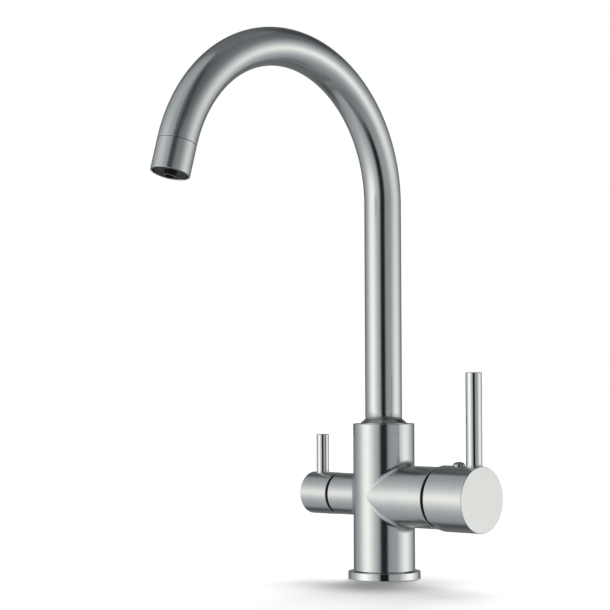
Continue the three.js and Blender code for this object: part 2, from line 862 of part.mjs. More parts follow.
function fixedDisc() {
  const end = fixedDiscStart + fixedDiscThickness;
  const disc = rod(chamberRadius - clearance, fixedDiscStart, end, roundSides);
  return cut(disc, ...mixerPorts(mixerPortRadius, fixedDiscStart - 1, end + 1));
}

// Disc that slides over the ports: a pocket joins them, and the ball of the stem pushes it.
function movingDisc() {
  const end = movingDiscStart + movingDiscThickness;
  const disc = rod(movingDiscRadius, movingDiscStart, end, roundSides);
  const pocket = rod(mixingPocketRadius, movingDiscStart - 1, movingDiscStart + mixingPocketDepth,
    smallSides).translate(mixingPocketRise, 0, 0);
  const ballSeat = rod(stemBallRadius + clearance, stemBallDistance - stemBallRadius - clearance,
    end + 1, boreSides);
  return cut(disc, pocket, ballSeat);
}

// Turning piece that carries the pin: its slot leaves the stem its way from upright to tipped.
function turret() {
  const flangeEnd = housingEnd - clearance;
  const neckEnd = flangeEnd + turretNeckLength;
  const body = turned([
    [0, turretStart],
    [chamberRadius - clearance, turretStart],
    [chamberRadius - clearance, flangeEnd],
    [cartridgeNutBore - clearance, flangeEnd],
    [cartridgeNutBore - clearance, neckEnd],
    [0, neckEnd],
  ], roundSides);
  const outer = neckEnd + 1;
  const inner = turretStart - 1;
  const upright = stemSocket;
  const tippedHalf = stemSize / 2 / Math.cos(tipAngle) + clearance;
  const lowest = -(outer - pivotDistance) * Math.tan(tipAngle) - tippedHalf;
  const highest = (pivotDistance - inner) * Math.tan(tipAngle) + tippedHalf;
  const slot = prism([
    [-upright, inner],
    [highest, inner],
    [tippedHalf, pivotDistance],
    [upright, outer],
    [lowest, outer],
    [-tippedHalf, pivotDistance],
  ], stemSocket);
  return cut(body, slot, pinHole());
}

// Cross hole for the pin, along the axis on which the handle tips.
function pinHole() {
  return rod(pinHoleRadius, -mixerBoreRadius, mixerBoreRadius, boreSides)
    .rotateX(Math.PI / 2)
    .translate(0, 0, pivotDistance);
}

function pivotPin() {
  const half = chamberRadius - 2 * clearance;
  return rod(pivotPinRadius, -half, half, boreSides)
    .rotateX(Math.PI / 2)
    .translate(0, 0, pivotDistance);
}

function cartridgeNut() {
  return pipe(cartridgeNutBore, housingRadius, nutStart, nutEnd, roundSides);
}

// Dark ring that fills the gap between the neck and the cap.
function mixerGapRing() {
  const flange = mixerNeckEnd + clearance;
  return turned([
    [cartridgeNutBore, flange - gapRingSpigot],
    [housingRadius, flange - gapRingSpigot],
    [housingRadius, flange],
    [gapRingRadius, flange],
    [gapRingRadius, flange + gapRingFlange],
    [cartridgeNutBore, flange + gapRingFlange],
  ], roundSides);
}

// ---------------------------------------------------------------- mixer handle

function stem() {
  const barStart = pivotDistance - stemSize / 2;
  const ball = new THREE.SphereGeometry(stemBallRadius, boreSides, drillSides)
    .rotateX(Math.PI / 2)
    .translate(0, 0, stemBallDistance);
  const neck = rod(stemNeckRadius, stemBallDistance, barStart + 1, drillSides);
  return cut(join(squareBar(stemSize, barStart, stemEnd), neck, ball), pinHole());
}

function mixerCap() {
  const bore = capEnd - capEndThickness;
  const shell = turned([
    [0, capBossStart],
    [capBossRadius, capBossStart],
    [capBossRadius, bore],
    [capBore, bore],
    [capBore, capStart],
    [capRadius - smallEdgeBreak, capStart],
    [capRadius, capStart + smallEdgeBreak],
    [capRadius, capEnd - edgeBreak],
    [capRadius - edgeBreak, capEnd],
    [0, capEnd],
  ], fineSides);
  const reach = 2 * capRadius;
  const relief = prism([
    [-reach, capStart - 1],
    [-reliefStart, capStart - 1],
    [-reliefStart, capStart],
    [-reach, capStart + (reach - reliefStart) * Math.tan(reliefAngle)],
  ], reach);
  return cut(
    shell,
    relief,
    squareBar(2 * stemSocket, capBossStart - 1, stemEnd + clearance),
    standing(rod(grubRadius + clearance, 0, capBossRadius + 1, boreSides), grubDistance),
    standing(rod(plugSpigotRadius + clearance, capBore - 1, capRadius + 1, smallSides), grubDistance),
    standing(rod(mixerLeverSpigot + clearance, capRadius - leverSpigotDepth, capRadius + 1,
      smallSides), mixerLeverDistance),
  );
}

// Round lever whose foot fits the curve of what carries it, with a spigot into the hole there.
function lever(radius, spigotRadius, top, carrierRadius, distance, reach) {
  const shank = standing(chamferedRod(radius, carrierRadius - radius, top, 0, edgeBreak, tubeSides),
    distance);
  const carrier = rod(carrierRadius + clearance, 0, reach, fineSides);
  const spigot = standing(rod(spigotRadius, carrierRadius - leverSpigotDepth + clearance,
    carrierRadius + radius, smallSides), distance);
  return join(cut(shank, carrier), spigot);
}

function mixerLever() {
  return lever(mixerLeverRadius, mixerLeverSpigot, mixerLeverTop, capRadius, mixerLeverDistance,
    capEnd + mixerLeverRadius);
}

function stemGrubScrew() {
  const from = stemSocket;
  const to = capBossRadius;
  return standing(cut(rod(grubRadius, from, to, boreSides), hexSocket(grubRadius, to)), grubDistance);
}

// Domed plug over the access hole of the grub screw.
function capPlug() {
  const seat = capRadius + clearance;
  const shoulder = seat + plugEdge;
  const domeHeight = capRadius + plugRise - shoulder;
  const domeSteps = 5;
  const profile = [
    [0, capBore],
    [plugSpigotRadius, capBore],
    [plugSpigotRadius, seat],
    [plugRadius, seat],
  ];
  for (let i = 0; i < domeSteps; i += 1) {
    const angle = (i / domeSteps) * (Math.PI / 2);
    profile.push([plugRadius * Math.cos(angle), shoulder + domeHeight * Math.sin(angle)]);
  }
  profile.push([0, shoulder + domeHeight]);
  return standing(turned(profile, smallSides), grubDistance);
}

// ---------------------------------------------------------------- filtered water valve

function filterValveSeal() {
  return pipe(valveRadius - valveSealWidth, valveRadius, valveSealStart, valveSealStart + valveSeal,
    roundSides);
}

function filterValveBody() {
  return turned([
    [valveChamber, valveStart],
    [valveRadius, valveStart],
    [valveRadius, valveEnd],
    [spindleRadius + clearance, valveEnd],
    [spindleRadius + clearance, valveChamberEnd],
    [valveChamber, valveChamberEnd],
  ], roundSides);
}

function valveDisc(start, quarterTurn) {
  const end = start + valveDiscThickness;
  const ports = filterPorts(valveDiscPort, start - 1, end + 1)
    .map((port) => port.rotateZ(quarterTurn));
  return cut(rod(valveChamber - clearance, start, end, roundSides), ...ports);
}

const spindleGrooveStart = (valveChamberEnd + valveEnd) / 2;

function filterSpindle() {
  const grooveRadius = spindleRadius - spindleGrooveDepth;
  const flangeEnd = spindleStart + spindleFlange;
  const round = turned([
    [0, spindleStart],
    [valveChamber - clearance, spindleStart],
    [valveChamber - clearance, flangeEnd],
    [spindleRadius, flangeEnd],
    ...groove(spindleRadius, grooveRadius, spindleGrooveStart, spindleGrooveStart + spindleGrooveWidth),
    [spindleRadius, spindleRoundEnd],
    [0, spindleRoundEnd],
  ], smallSides);
  return join(round, squareBar(spindleSquare, spindleRoundEnd - spindleSquare, spindleEnd));
}

function spindleSeal() {
  return sealRing(spindleRadius - spindleGrooveDepth, spindleRadius + clearance,
    spindleGrooveStart + spindleGrooveWidth / 2, smallSides);
}

function filterGapRing() {
  const flange = filterNeckEnd + clearance;
  const bore = spindleRadius + clearance;
  return turned([
    [bore, valveEnd + clearance],
    [valveRadius, valveEnd + clearance],
    [valveRadius, flange],
    [filterRingRadius, flange],
    [filterRingRadius, flange + filterRingFlange],
    [bore, flange + filterRingFlange],
  ], roundSides);
}

function filterKnob() {
  const skirtEnd = knobStart + knobSkirt;
  const bore = knobRadius - knobWall;
  const shell = turned([
    [0, skirtEnd],
    [bore, skirtEnd],
    [bore, knobStart],
    [knobRadius - smallEdgeBreak, knobStart],
    [knobRadius, knobStart + smallEdgeBreak],
    [knobRadius, knobEnd - edgeBreak],
    [knobRadius - edgeBreak, knobEnd],
    [0, knobEnd],
  ], fineSides);
  return cut(
    shell,
    squareBar(spindleSquare + 2 * clearance, skirtEnd - 1, spindleEnd + clearance),
    hanging(rod(knobScrewRadius + clearance, 0, knobRadius + 1, boreSides), knobScrewDistance),
    standing(rod(filterLeverSpigot + clearance, knobRadius - leverSpigotDepth, knobRadius + 1,
      smallSides), filterLeverDistance),
  );
}

function filterLever() {
  return lever(filterLeverRadius, filterLeverSpigot, filterLeverTop, knobRadius,
    filterLeverDistance, knobEnd + filterLeverRadius);
}

function knobScrew() {
  const from = spindleSquare / 2 + clearance;
  const to = from + knobScrewLength;
  return hanging(cut(rod(knobScrewRadius, from, to, boreSides), hexSocket(knobScrewRadius, to)),
    knobScrewDistance);
}

// ---------------------------------------------------------------- assembly

function addPiece(parent, name, geometry, material) {
  const mesh = new THREE.Mesh(geometry, material());
  mesh.name = name;
  parent.add(mesh);
}

function addFrame(parent, matrix) {
  const group = new THREE.Group();
  group.applyMatrix4(matrix);
  parent.add(group);
  return group;
}

function addBody(parent) {
  addPiece(parent, "body_casting", bodyCasting(), satinNickel);
  addPiece(parent, "base_ring", baseRing(), polishedNickel);
  addPiece(parent, "base_seal", baseSeal(), rubber);
  const screw = lockScrew().rotateX(-Math.PI / 2).translate(0, 0, lockHeight);
  addPiece(parent, "spout_lock_screw", screw, steel);
}

function addSpout(parent) {
  addPiece(parent, "spout_tube", spoutTube(), satinNickel);
  addPiece(parent, "spout_foot", spoutFoot(), brass);
  addPiece(parent, "spout_cone_ring", coneRing(), darkNickel);
  addPiece(parent, "spout_bearing_lower", spoutBearing(lowerBearingLevel), whitePlastic);
  addPiece(parent, "spout_bearing_upper", spoutBearing(upperBearingLevel), whitePlastic);
  const ringSeal = (level) => sealRing(ringGrooveRadius, socketRadius,
    level + ringGrooveWidth / 2, roundSides);
  addPiece(parent, "spout_o_ring_lower", ringSeal(lowerRingLevel), rubber);
  addPiece(parent, "spout_o_ring_upper", ringSeal(upperRingLevel), rubber);
  const spigotSeal = sealRing(spigotSocketRadius - clearance - spindleGrooveDepth, spigotSocketRadius,
    socketFloor - spigotSocketDepth / 2, smallSides);
  addPiece(parent, "filter_spigot_o_ring", spigotSeal, rubber);
  addPiece(parent, "filter_tube_nipple", filterTubeNipple(), brass);
  addPiece(parent, "filter_tube", filterTube(), whitePlastic);
}

function addOutlet(parent) {
  addPiece(parent, "spout_end_nipple", endNipple(), brass);
  addPiece(parent, "aerator_collar", aeratorCollar(), satinNickel);
  addPiece(parent, "aerator_gasket", aeratorGasket(), rubber);
  addPiece(parent, "aerator_insert", aeratorInsert(), blackPlastic);
  addPiece(parent, "filter_nozzle", filterNozzle(), blackPlastic);
}

function addMixerSide(parent) {
  addPiece(parent, "mixer_base_gasket", portGasketDisc(), rubber);
  addPiece(parent, "mixer_cartridge_housing", cartridgeHousing(), whitePlastic);
  addPiece(parent, "mixer_fixed_disc", fixedDisc(), ceramic);
  addPiece(parent, "mixer_moving_disc", movingDisc(), ceramic);
  addPiece(parent, "mixer_turret", turret(), whitePlastic);
  addPiece(parent, "mixer_pivot_pin", pivotPin(), steel);
  addPiece(parent, "mixer_cartridge_nut", cartridgeNut(), brass);
  addPiece(parent, "mixer_gap_ring", mixerGapRing(), blackPlastic);
  addPiece(parent, "mixer_stem", stem(), steel);
  addPiece(parent, "mixer_cap", mixerCap(), satinNickel);
  addPiece(parent, "mixer_lever", mixerLever(), polishedNickel);
  addPiece(parent, "mixer_grub_screw", stemGrubScrew(), steel);
  addPiece(parent, "mixer_cap_plug", capPlug(), polishedNickel);
}

function addFilterSide(parent) {
  addPiece(parent, "filter_valve_seal", filterValveSeal(), rubber);
  addPiece(parent, "filter_valve_body", filterValveBody(), brass);
  addPiece(parent, "filter_fixed_disc", valveDisc(valveStart, 0), ceramic);
  addPiece(parent, "filter_turning_disc", valveDisc(turningDiscStart, Math.PI / 2), ceramic);
  addPiece(parent, "filter_spindle", filterSpindle(), brass);
  addPiece(parent, "filter_spindle_o_ring", spindleSeal(), rubber);
  addPiece(parent, "filter_gap_ring", filterGapRing(), blackPlastic);
  addPiece(parent, "filter_knob", filterKnob(), satinNickel);
  addPiece(parent, "filter_lever", filterLever(), polishedNickel);
  addPiece(parent, "filter_knob_screw", knobScrew(), steel);
}

const group = new THREE.Group();
addBody(group);
addSpout(group);
addOutlet(addFrame(group, outletFrame));
addMixerSide(addFrame(group, mixerFrame));
addFilterSide(addFrame(group, filterFrame));

export default group;
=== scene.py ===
"""Three way kitchen tap in satin and polished nickel, on a pale floor in a soft studio."""
import json
import math

import bmesh
import bpy
import numpy as np
from mathutils import Matrix


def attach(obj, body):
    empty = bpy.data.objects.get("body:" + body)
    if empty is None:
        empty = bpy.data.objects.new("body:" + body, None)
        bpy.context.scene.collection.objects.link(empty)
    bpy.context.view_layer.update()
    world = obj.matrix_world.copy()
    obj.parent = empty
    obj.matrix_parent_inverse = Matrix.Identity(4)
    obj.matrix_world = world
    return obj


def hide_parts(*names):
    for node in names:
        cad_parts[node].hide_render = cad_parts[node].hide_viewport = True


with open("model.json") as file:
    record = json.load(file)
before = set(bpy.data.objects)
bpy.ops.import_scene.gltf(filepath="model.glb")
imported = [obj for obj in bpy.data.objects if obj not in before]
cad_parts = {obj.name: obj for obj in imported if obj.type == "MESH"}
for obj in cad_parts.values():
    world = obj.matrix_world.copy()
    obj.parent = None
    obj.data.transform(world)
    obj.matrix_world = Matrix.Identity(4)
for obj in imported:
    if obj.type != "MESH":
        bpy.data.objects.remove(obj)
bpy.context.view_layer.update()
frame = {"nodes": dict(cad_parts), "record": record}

MM = 0.001
TURN = 2 * math.pi

# Camera, as the photograph was taken
CAMERA_PLACE = (0.928711, -1.043551, 0.136366)
CAMERA_YAW = math.radians(43.848)
CAMERA_PITCH = math.radians(2.009)
CAMERA_ROLL = math.radians(-0.223)
CAMERA_LENS = 121.094
CAMERA_SENSOR = 36
CAMERA_FAR = 100

# Sizes in millimetres, as in the solids. First the column
COLUMN_RADIUS = 20.8
COLUMN_TOP = 104.65
COLUMN_FOOT = 5.45
SOCKET_RADIUS = 16
SOCKET_DEPTH = 6
LOCK_HEIGHT = 89.45
LOCK_HOLE = 2.7

# Foot ring with the groove of its seal, and underside; its sockets have a radius and a depth
BASE_RADIUS = 24.5
BASE_HEIGHT = 5
BASE_SPIGOT = 16.9
BASE_PLAY = 0.3
SEAL_INNER = 19.05
SEAL_OUTER = 22.65
SEAL_DEPTH = 1.8
INLET_CIRCLE = 10
INLET_OFFSET = INLET_CIRCLE * math.sqrt(0.5)
HOSE_SOCKET = (4.5, 12)
STUD_HOLE = (3.4, 20)

# Necks; ends and floors are counted from the column's axis
HANDLE_HEIGHT = 55.8
NECK_RADIUS = 20.65
NECK_END = 49.8
NECK_BORE = 17.8
NECK_FLOOR = 41.8
FILTER_NECK_RADIUS = 14.2
FILTER_NECK_END = 39.6
FILTER_BORE = 9.5
FILTER_BORE_FLOOR = 12
VALVE_HOLE = FILTER_BORE * 1.1
FILLET = 4.2
FILLET_LIFT = 0.002
FILLET_BACK = 0.5

# Dark rings in the gaps between necks and handles
RING_PLAY = 0.3
MIXER_RING_RADIUS = 18.55
MIXER_RING_BORE = 12
MIXER_RING_DEPTH = 2.2
FILTER_RING_RADIUS = 12.4
FILTER_RING_BORE = 4.3
FILTER_RING_DEPTH = 1.3

# Spout tube, and the cone at its foot
TUBE_RADIUS = 12.5
TUBE_BORE = 11.3
TUBE_BEVEL = 0.2
TUBE_BOTTOM = 101.35
BEND_RADIUS = 97
BEND_HEIGHT = 253.5
BEND_ANGLE = math.radians(163.6)
CONE_RADIUS = 15.7
CONE_TOP = 107.45
CONE_EDGE = 105.05
CONE_LAND = 13.1
CONE_PLAY = 0.05

# Outlet; levels are counted from the tube's end, and are negative below it
COLLAR_LENGTH = 20.3
COLLAR_BORE = 11.3
COLLAR_LIP = 11.2
COLLAR_LIP_DEPTH = 1
SEAM = 0.3
# Play and inset of the black ring in the seam, which is a painted shadow
SEAM_PLAY = 0.1
SEAM_INSET = 0.12
INSERT_LEVEL = -19.6
INSERT_RADIUS = 10.4
INSERT_DEPTH = 9
INSERT_RIM = 1.2
MESH_INSET = 1.4
MESH_RECESS = 0.5
MESH_PITCH = 1.3
WELL_PLAY = 0.3
WELL_DEPTH = 3
NOZZLE_RADIUS = 3.9
NOZZLE_BORE = 3.1
NOZZLE_TIP = -22.3
NOZZLE_DEPTH = 7
NOZZLE_ROOT = 4

# Mixer handle; distances are counted from the column's axis, and tops from the handle's axis
CAP_START = 53.0
CAP_END = 85.3
CAP_RADIUS = 21.85
CAP_BORE = 18.95
CAP_FLOOR = 74.9
RELIEF_START = 14
RELIEF_SLOPE = math.tan(math.radians(27))
LEVER_RADIUS = 5.35
LEVER_DISTANCE = 78.8
LEVER_TOP = 83.2
LEVER_FLARE = 0.35
PLUG_RADIUS = 3.9
PLUG_DISTANCE = 66
PLUG_TOP = 24.45
PLUG_WALL = 0.6
PLUG_ROOT = 2

# Handle of the filtered water, counted in the same way
KNOB_START = 41.5
KNOB_END = 65.3
KNOB_RADIUS = 14.4
KNOB_BORE = 12.0
KNOB_FLOOR = 46.5
KNOB_SCREW_DISTANCE = 51.3
KNOB_SCREW_HOLE = 2.3
KNOB_SCREW_FLOOR = 3
SMALL_LEVER_RADIUS = 4.3
SMALL_LEVER_DISTANCE = 57
SMALL_LEVER_TOP = 40.7
SMALL_LEVER_FLARE = 0.2

# Foot of both levers: its depth in the cup, its rings, and where the flare and the saddle end
LEVER_ROOT = 4
FLARE_RINGS = (0, 0.5, 1, 2)
FLARE_HEIGHT = 1.5
SADDLE_HEIGHT = 8

# Radii of edges, from the sharpest to the roundest
SEAM_EDGE = 0.03
KEEN_EDGE = 0.05
SHARP_EDGE = 0.1
INNER_EDGE = 0.15
FINE_EDGE = 0.2
BROKEN_EDGE = 0.25
EASED_EDGE = 0.3
RIM_EDGE = 0.35
END_EDGE = 0.4
SHOULDER_EDGE = 0.45
ROUND_EDGE = 0.5

# Grain of nickel: changes in a metre across its lines, and in a radian along them; then the
# levels of its dark and light ends, and the share of the grain that the roughness takes
LINE_GRAIN = (2600.0, 0.6)
CLOUD_GRAIN = (90.0, 1.2)
NICKEL_TINT = (1.0, 1.0, 0.985)
NICKEL_DARK = 0.9
NICKEL_LIGHT = 1.1
NICKEL_ROUGH = 0.25

# Grain of the plain finishes, in a metre, and what it does; then the stripe and the mesh
PLAIN_GRAIN = 900.0
PLAIN_DARK = 0.85
PLAIN_ROUGH = 0.1
STRIPE_GREY = 0.13
STRIPE_SOFTNESS = 0.1
WIRE_EDGE = (0.25, 0.5)
WIRE_GREY = 0.07
WIRE_ROUGH = 0.3
WIRE_STRENGTH = 0.6
HOLE_GREY = 0.008
HOLE_ROUGH = 0.45

# Heights of the reliefs, in metres
GRAIN_HEIGHT = 0.0001
WIRE_HEIGHT = 0.0002

# Studio: angles in degrees and lengths in millimetres
SKY_BEARING = -13
SKY_TILT = 55
SKY_SPREAD = 32
SKY_STRENGTH = 2.65
FLOOR_PAINT = 0.84
FLOOR_TINT = (1.04, 1.0, 0.98)
FLOOR_GLOW = 0.4
FLOOR_RADIUS = 18000
FLOOR_RINGS = (1, 0.1, 0.02, 0.005, 0.001, 0)
FLOOR_GAP = 0.2
# Painted shadow on the floor: its middle, on the camera's side of the foot, and where its glow
# fades back in
PAINTED_SHADOW_PLACE = 45
PAINTED_SHADOW_EDGE = (10, 70)
TENT_RADIUS = 20000
TENT_ROWS = 49
TENT_SIDES = 96
TENT_BLEND = (0.45, 1.2)
TENT_DIM_TINT = (0.93, 1.0, 1.045, 1)
TENT_BRIGHT_TINT = (0.975, 1.0, 0.97, 1)

# Lights and shades of the tent, in degrees and in shares. A span gives both edges, counted from
# the bearing or from the horizon, and their softness; a light has a width and a height instead
WALL_BEARING = -38
WALL_START = (-68, -44)
WALL_END = (58, 66)
WALL_LIGHT = 0.23
ROOM_LIGHT = 0.2
SIDE_BEARING = 118
SIDE_SPAN = (-61, 61, 5)
SIDE_RISE = -12
SIDE_HEIGHT = 34
SIDE_LIGHT = 0.25
LEFT_BEARING = -27
LEFT_WIDTH = 33
LEFT_RISE = -0.75
LEFT_SLANT = 0.25
LEFT_HEIGHT = 24
LEFT_LIGHT = 1.02
RIGHT_BEARING = 130
RIGHT_WIDTH = 30
RIGHT_RISE = -5
RIGHT_HEIGHT = 16
RIGHT_LIGHT = 0.9
PANEL_BEARING = 41
PANEL_SLANT = 0.12
PANEL_SPAN = (-12.5, 12.5, 2)
PANEL_RISES = (-46, 32, 12)
PANEL_SHADE = 0.93
CORNER_BEARING = 60
CORNER_SPAN = (-16, 16, 8)
CORNER_SHADE = 0.35
WING_BEARING = 100
WING_SPAN = (-56, 56, 8)
WING_SHADE = 0.28
CORNER_RISES = (28, 78, 10)
SLIT_BEARING = 90
SLIT_SPAN = (-3, 3, 1.5)
SLIT_SHADE = 0.2
HIGH_BAND_BEARING = -174
HIGH_BAND_WIDTH = 36
HIGH_BAND_RISES = (28, 54, 6)
HIGH_BAND_SHADE = 0.65
SHORT_BAND_BEARING = -114
SHORT_BAND_WIDTH = 15
SHORT_BAND_RISES = (33, 46, 4)
SHORT_BAND_SHADE = 0.35
LOW_BAND_BEARINGS = (180, -104)
LOW_BAND_WIDTHS = (22, 18)
LOW_BAND_RISES = (-58, -37, 6)
LOW_BAND_SHADES = (0.4, 0.55)

# Steps of the grids; a hole's edge is given by its radius and by the inset of its middle
SIDES = 256
FEW_SIDES = 128
PLUG_SIDES = 96
PLUG_ROWS = 16
PLATE_ROWS = 24
ARC_STEPS = 6
FILLET_STEPS = 16
FILLET_GUARD = 0.01
FILLET_BACK_STEPS = (1.5, 2)
RISER_STEPS = 12
BEND_STEPS = 200
BORE_STEPS = 60
WINDOW_STEPS = 5
WINDOW_MARGIN = 0.8
HOLE_LAND = 0.2
HOLE_EDGE = 0.15
HOLE_EDGE_INSET = 0.04
GUARD = 0.04
MERGE = 1e-7


# ---------------------------------------------------------------- places

def place(origin, along, up=(1, 0, 0)):
    """Frame whose third axis runs along a piece; the columns are up, across and along."""
    along = np.array(along, float)
    up = np.array(up, float)
    matrix = np.eye(4)
    matrix[:3, 0] = up
    matrix[:3, 1] = np.cross(along, up)
    matrix[:3, 2] = along
    matrix[:3, 3] = origin
    return matrix


def moved(points, matrix):
    """Points of a frame, in the tap's own axes."""
    return points @ matrix[:3, :3].T + matrix[:3, 3]


UPRIGHT = place((0, 0, 0), (0, 0, 1))
MIXER = place((0, 0, HANDLE_HEIGHT), (1, 0, 0), (0, 0, 1))
FILTER = place((0, 0, HANDLE_HEIGHT), (-1, 0, 0), (0, 0, 1))
TIP_POINT = (
    0,
    BEND_RADIUS * (math.cos(BEND_ANGLE) - 1),
    BEND_HEIGHT + BEND_RADIUS * math.sin(BEND_ANGLE),
)
OUTLET = place(TIP_POINT, (0, math.sin(BEND_ANGLE), -math.cos(BEND_ANGLE)))


def standing(side, distance):
    """Frame on a handle's axis, pointing upward, at a distance from the column's axis."""
    direction = side[:3, 2]
    return place(side[:3, 3] + direction * distance, (0, 0, 1), tuple(direction))


# ---------------------------------------------------------------- outlines

def rounded(corners, closed=False):
    """Outline through corners (x, y, radius): each corner is the arc of its radius that touches
    both sides, with a guard point a little before and after it so that flat stretches stay flat."""
    spots = np.array([corner[:2] for corner in corners], float)
    share = np.linspace(0, 1, ARC_STEPS + 1)[:, None]
    pieces = []
    for i, (_, _, radius) in enumerate(corners):
        if radius == 0:
            pieces.append(spots[i][None])
            continue
        before = spots[i - 1] - spots[i]
        after = spots[(i + 1) % len(corners)] - spots[i]
        before /= np.linalg.norm(before)
        after /= np.linalg.norm(after)
        half = math.acos(np.clip(before @ after, -1, 1)) / 2
        reach = radius / math.tan(half)
        inward = (before + after) / np.linalg.norm(before + after)
        middle = spots[i] + inward * radius / math.sin(half)
        first = spots[i] + before * reach - middle
        last = spots[i] + after * reach - middle
        opening = math.pi - 2 * half
        blend = np.sin((1 - share) * opening) * first + np.sin(share * opening) * last
        arc = middle + blend / math.sin(opening)
        pieces.append(np.vstack([arc[:1] + before * GUARD, arc, arc[-1:] + after * GUARD]))
    outline = np.vstack(pieces)
    return np.vstack([outline, outline[:1]]) if closed else outline


def lengths(outline):
    """Length along an outline, from its start to each of its points, in metres."""
    steps = np.linalg.norm(np.diff(outline, axis=0), axis=1)
    return np.concatenate([[0], np.cumsum(steps)]) * MM


# ---------------------------------------------------------------- surfaces

class Sheet:
    """A grid of points: rows round a closed turn, or open rows where it doesn't wrap. U counts the
    turn and V is the length along the outline, unless both are given."""

    def __init__(self, points, along=None, wraps=True, uv=None):
        self.points = points
        self.along = along
        self.wraps = wraps
        self.uv = uv


def turned(outline, matrix=UPRIGHT, sides=SIDES, reshape=None):
    """Surface of revolution: at angle a the outline's (r, h) is (r cos a, r sin a, h). A reshape
    shifts its points before they are put in their place."""
    angle = np.arange(sides) / sides * TURN
    radius = outline[:, :1]
    points = np.stack([
        radius * np.cos(angle),
        radius * np.sin(angle),
        outline[:, 1:2] + 0 * angle,
    ], axis=-1)
    if reshape is not None:
        points = reshape(points)
    return Sheet(moved(points, matrix), lengths(outline))


def pierced(radius, turn, height, hole, floor, matrix=UPRIGHT):
    """Band of a cylinder's wall with a round hole in it, and half the band's height. The grid
    leaves a window, whose border points are joined to the hole's rim along straight lines from
    its centre; at arc length s and height z the wall is (r cos(t + s / r), r sin(t + s / r), z).
    The hole runs straight in and ends on a flat floor, at a distance from the cylinder's axis."""
    cell = TURN / SIDES
    half = math.ceil((hole + WINDOW_MARGIN) / (radius * cell))
    side = half * radius * cell
    step = np.linspace(-side, side, 2 * half + 1)
    angle = turn + np.arange(half, SIDES - half + 1) * cell
    angle, level = np.meshgrid(angle, height + step)
    band = np.stack([radius * np.cos(angle), radius * np.sin(angle), level], axis=-1)
    band_uv = np.stack([angle / TURN, level * MM], axis=-1)
    edge = step[:-1]
    full = side + 0 * edge
    border = np.vstack([np.stack(pair, -1) for pair in (
        (edge, -full), (full, edge), (-edge, full), (-full, -edge))])
    ray = border / np.linalg.norm(border, axis=1)[:, None]
    share = np.linspace(0, 1, WINDOW_STEPS + 1)[:, None, None]
    land = border * (1 - share) + ray * (hole + HOLE_LAND) * share
    reach = np.array([HOLE_EDGE, HOLE_EDGE_INSET, 0, 0, 0, 0, -GUARD, -hole]) + hole
    spread = np.vstack([land, reach[:, None, None] * ray])
    edge_drop = [0, HOLE_EDGE_INSET, HOLE_EDGE, HOLE_EDGE + GUARD]
    drop = np.concatenate([0 * share[:, 0, 0], edge_drop])[:, None]
    bottom = np.array([floor + GUARD, floor, floor, floor])[:, None]
    out = radius * np.cos(spread[..., 0] / radius)
    out = np.vstack([out[:-4] - drop, bottom + 0 * out[-4:]])
    across = radius * np.sin(spread[..., 0] / radius)
    patch = np.stack([
        out * math.cos(turn) - across * math.sin(turn),
        out * math.sin(turn) + across * math.cos(turn),
        height + spread[..., 1],
    ], axis=-1)
    patch_uv = np.stack([
        (turn + spread[..., 0] / radius) / TURN,
        (height + spread[..., 1]) * MM,
    ], axis=-1)
    sheets = [
        Sheet(moved(band, matrix), wraps=False, uv=band_uv),
        Sheet(moved(patch, matrix), uv=patch_uv),
    ]
    return sheets, side


def swept(radius, bend_steps, bevel=0):
    """Round tube along the spout line: a riser, then the arc of the bend. At arc angle b the
    section's axes are X and (0, cos b, sin b). The last ring is narrower by the bevel."""
    last = BEND_ANGLE - bevel / BEND_RADIUS
    bend = np.linspace(0, last, bend_steps + 1)
    riser = np.linspace(TUBE_BOTTOM, BEND_HEIGHT, RISER_STEPS, endpoint=False)
    angle_b = np.concatenate([np.zeros(len(riser)), bend])
    height = np.concatenate([riser - BEND_HEIGHT, np.zeros(len(bend))])
    reach = radius + 0 * angle_b
    if bevel:
        angle_b = np.append(np.insert(angle_b, -1, last - GUARD / BEND_RADIUS), BEND_ANGLE)
        height = np.append(height, [0, 0])
        reach = np.append(reach, [radius, radius - bevel])
    centre = np.stack([
        0 * angle_b,
        BEND_RADIUS * (np.cos(angle_b) - 1),
        BEND_HEIGHT + height + BEND_RADIUS * np.sin(angle_b),
    ], axis=-1)
    angle = np.arange(SIDES) / SIDES * TURN
    across = np.array([1, 0, 0])[None, None]
    second = np.stack([0 * angle_b, np.cos(angle_b), np.sin(angle_b)], axis=-1)[:, None]
    ring = np.cos(angle)[None, :, None] * across + np.sin(angle)[None, :, None] * second
    return Sheet(centre[:, None] + ring * reach[:, None, None], lengths(centre))


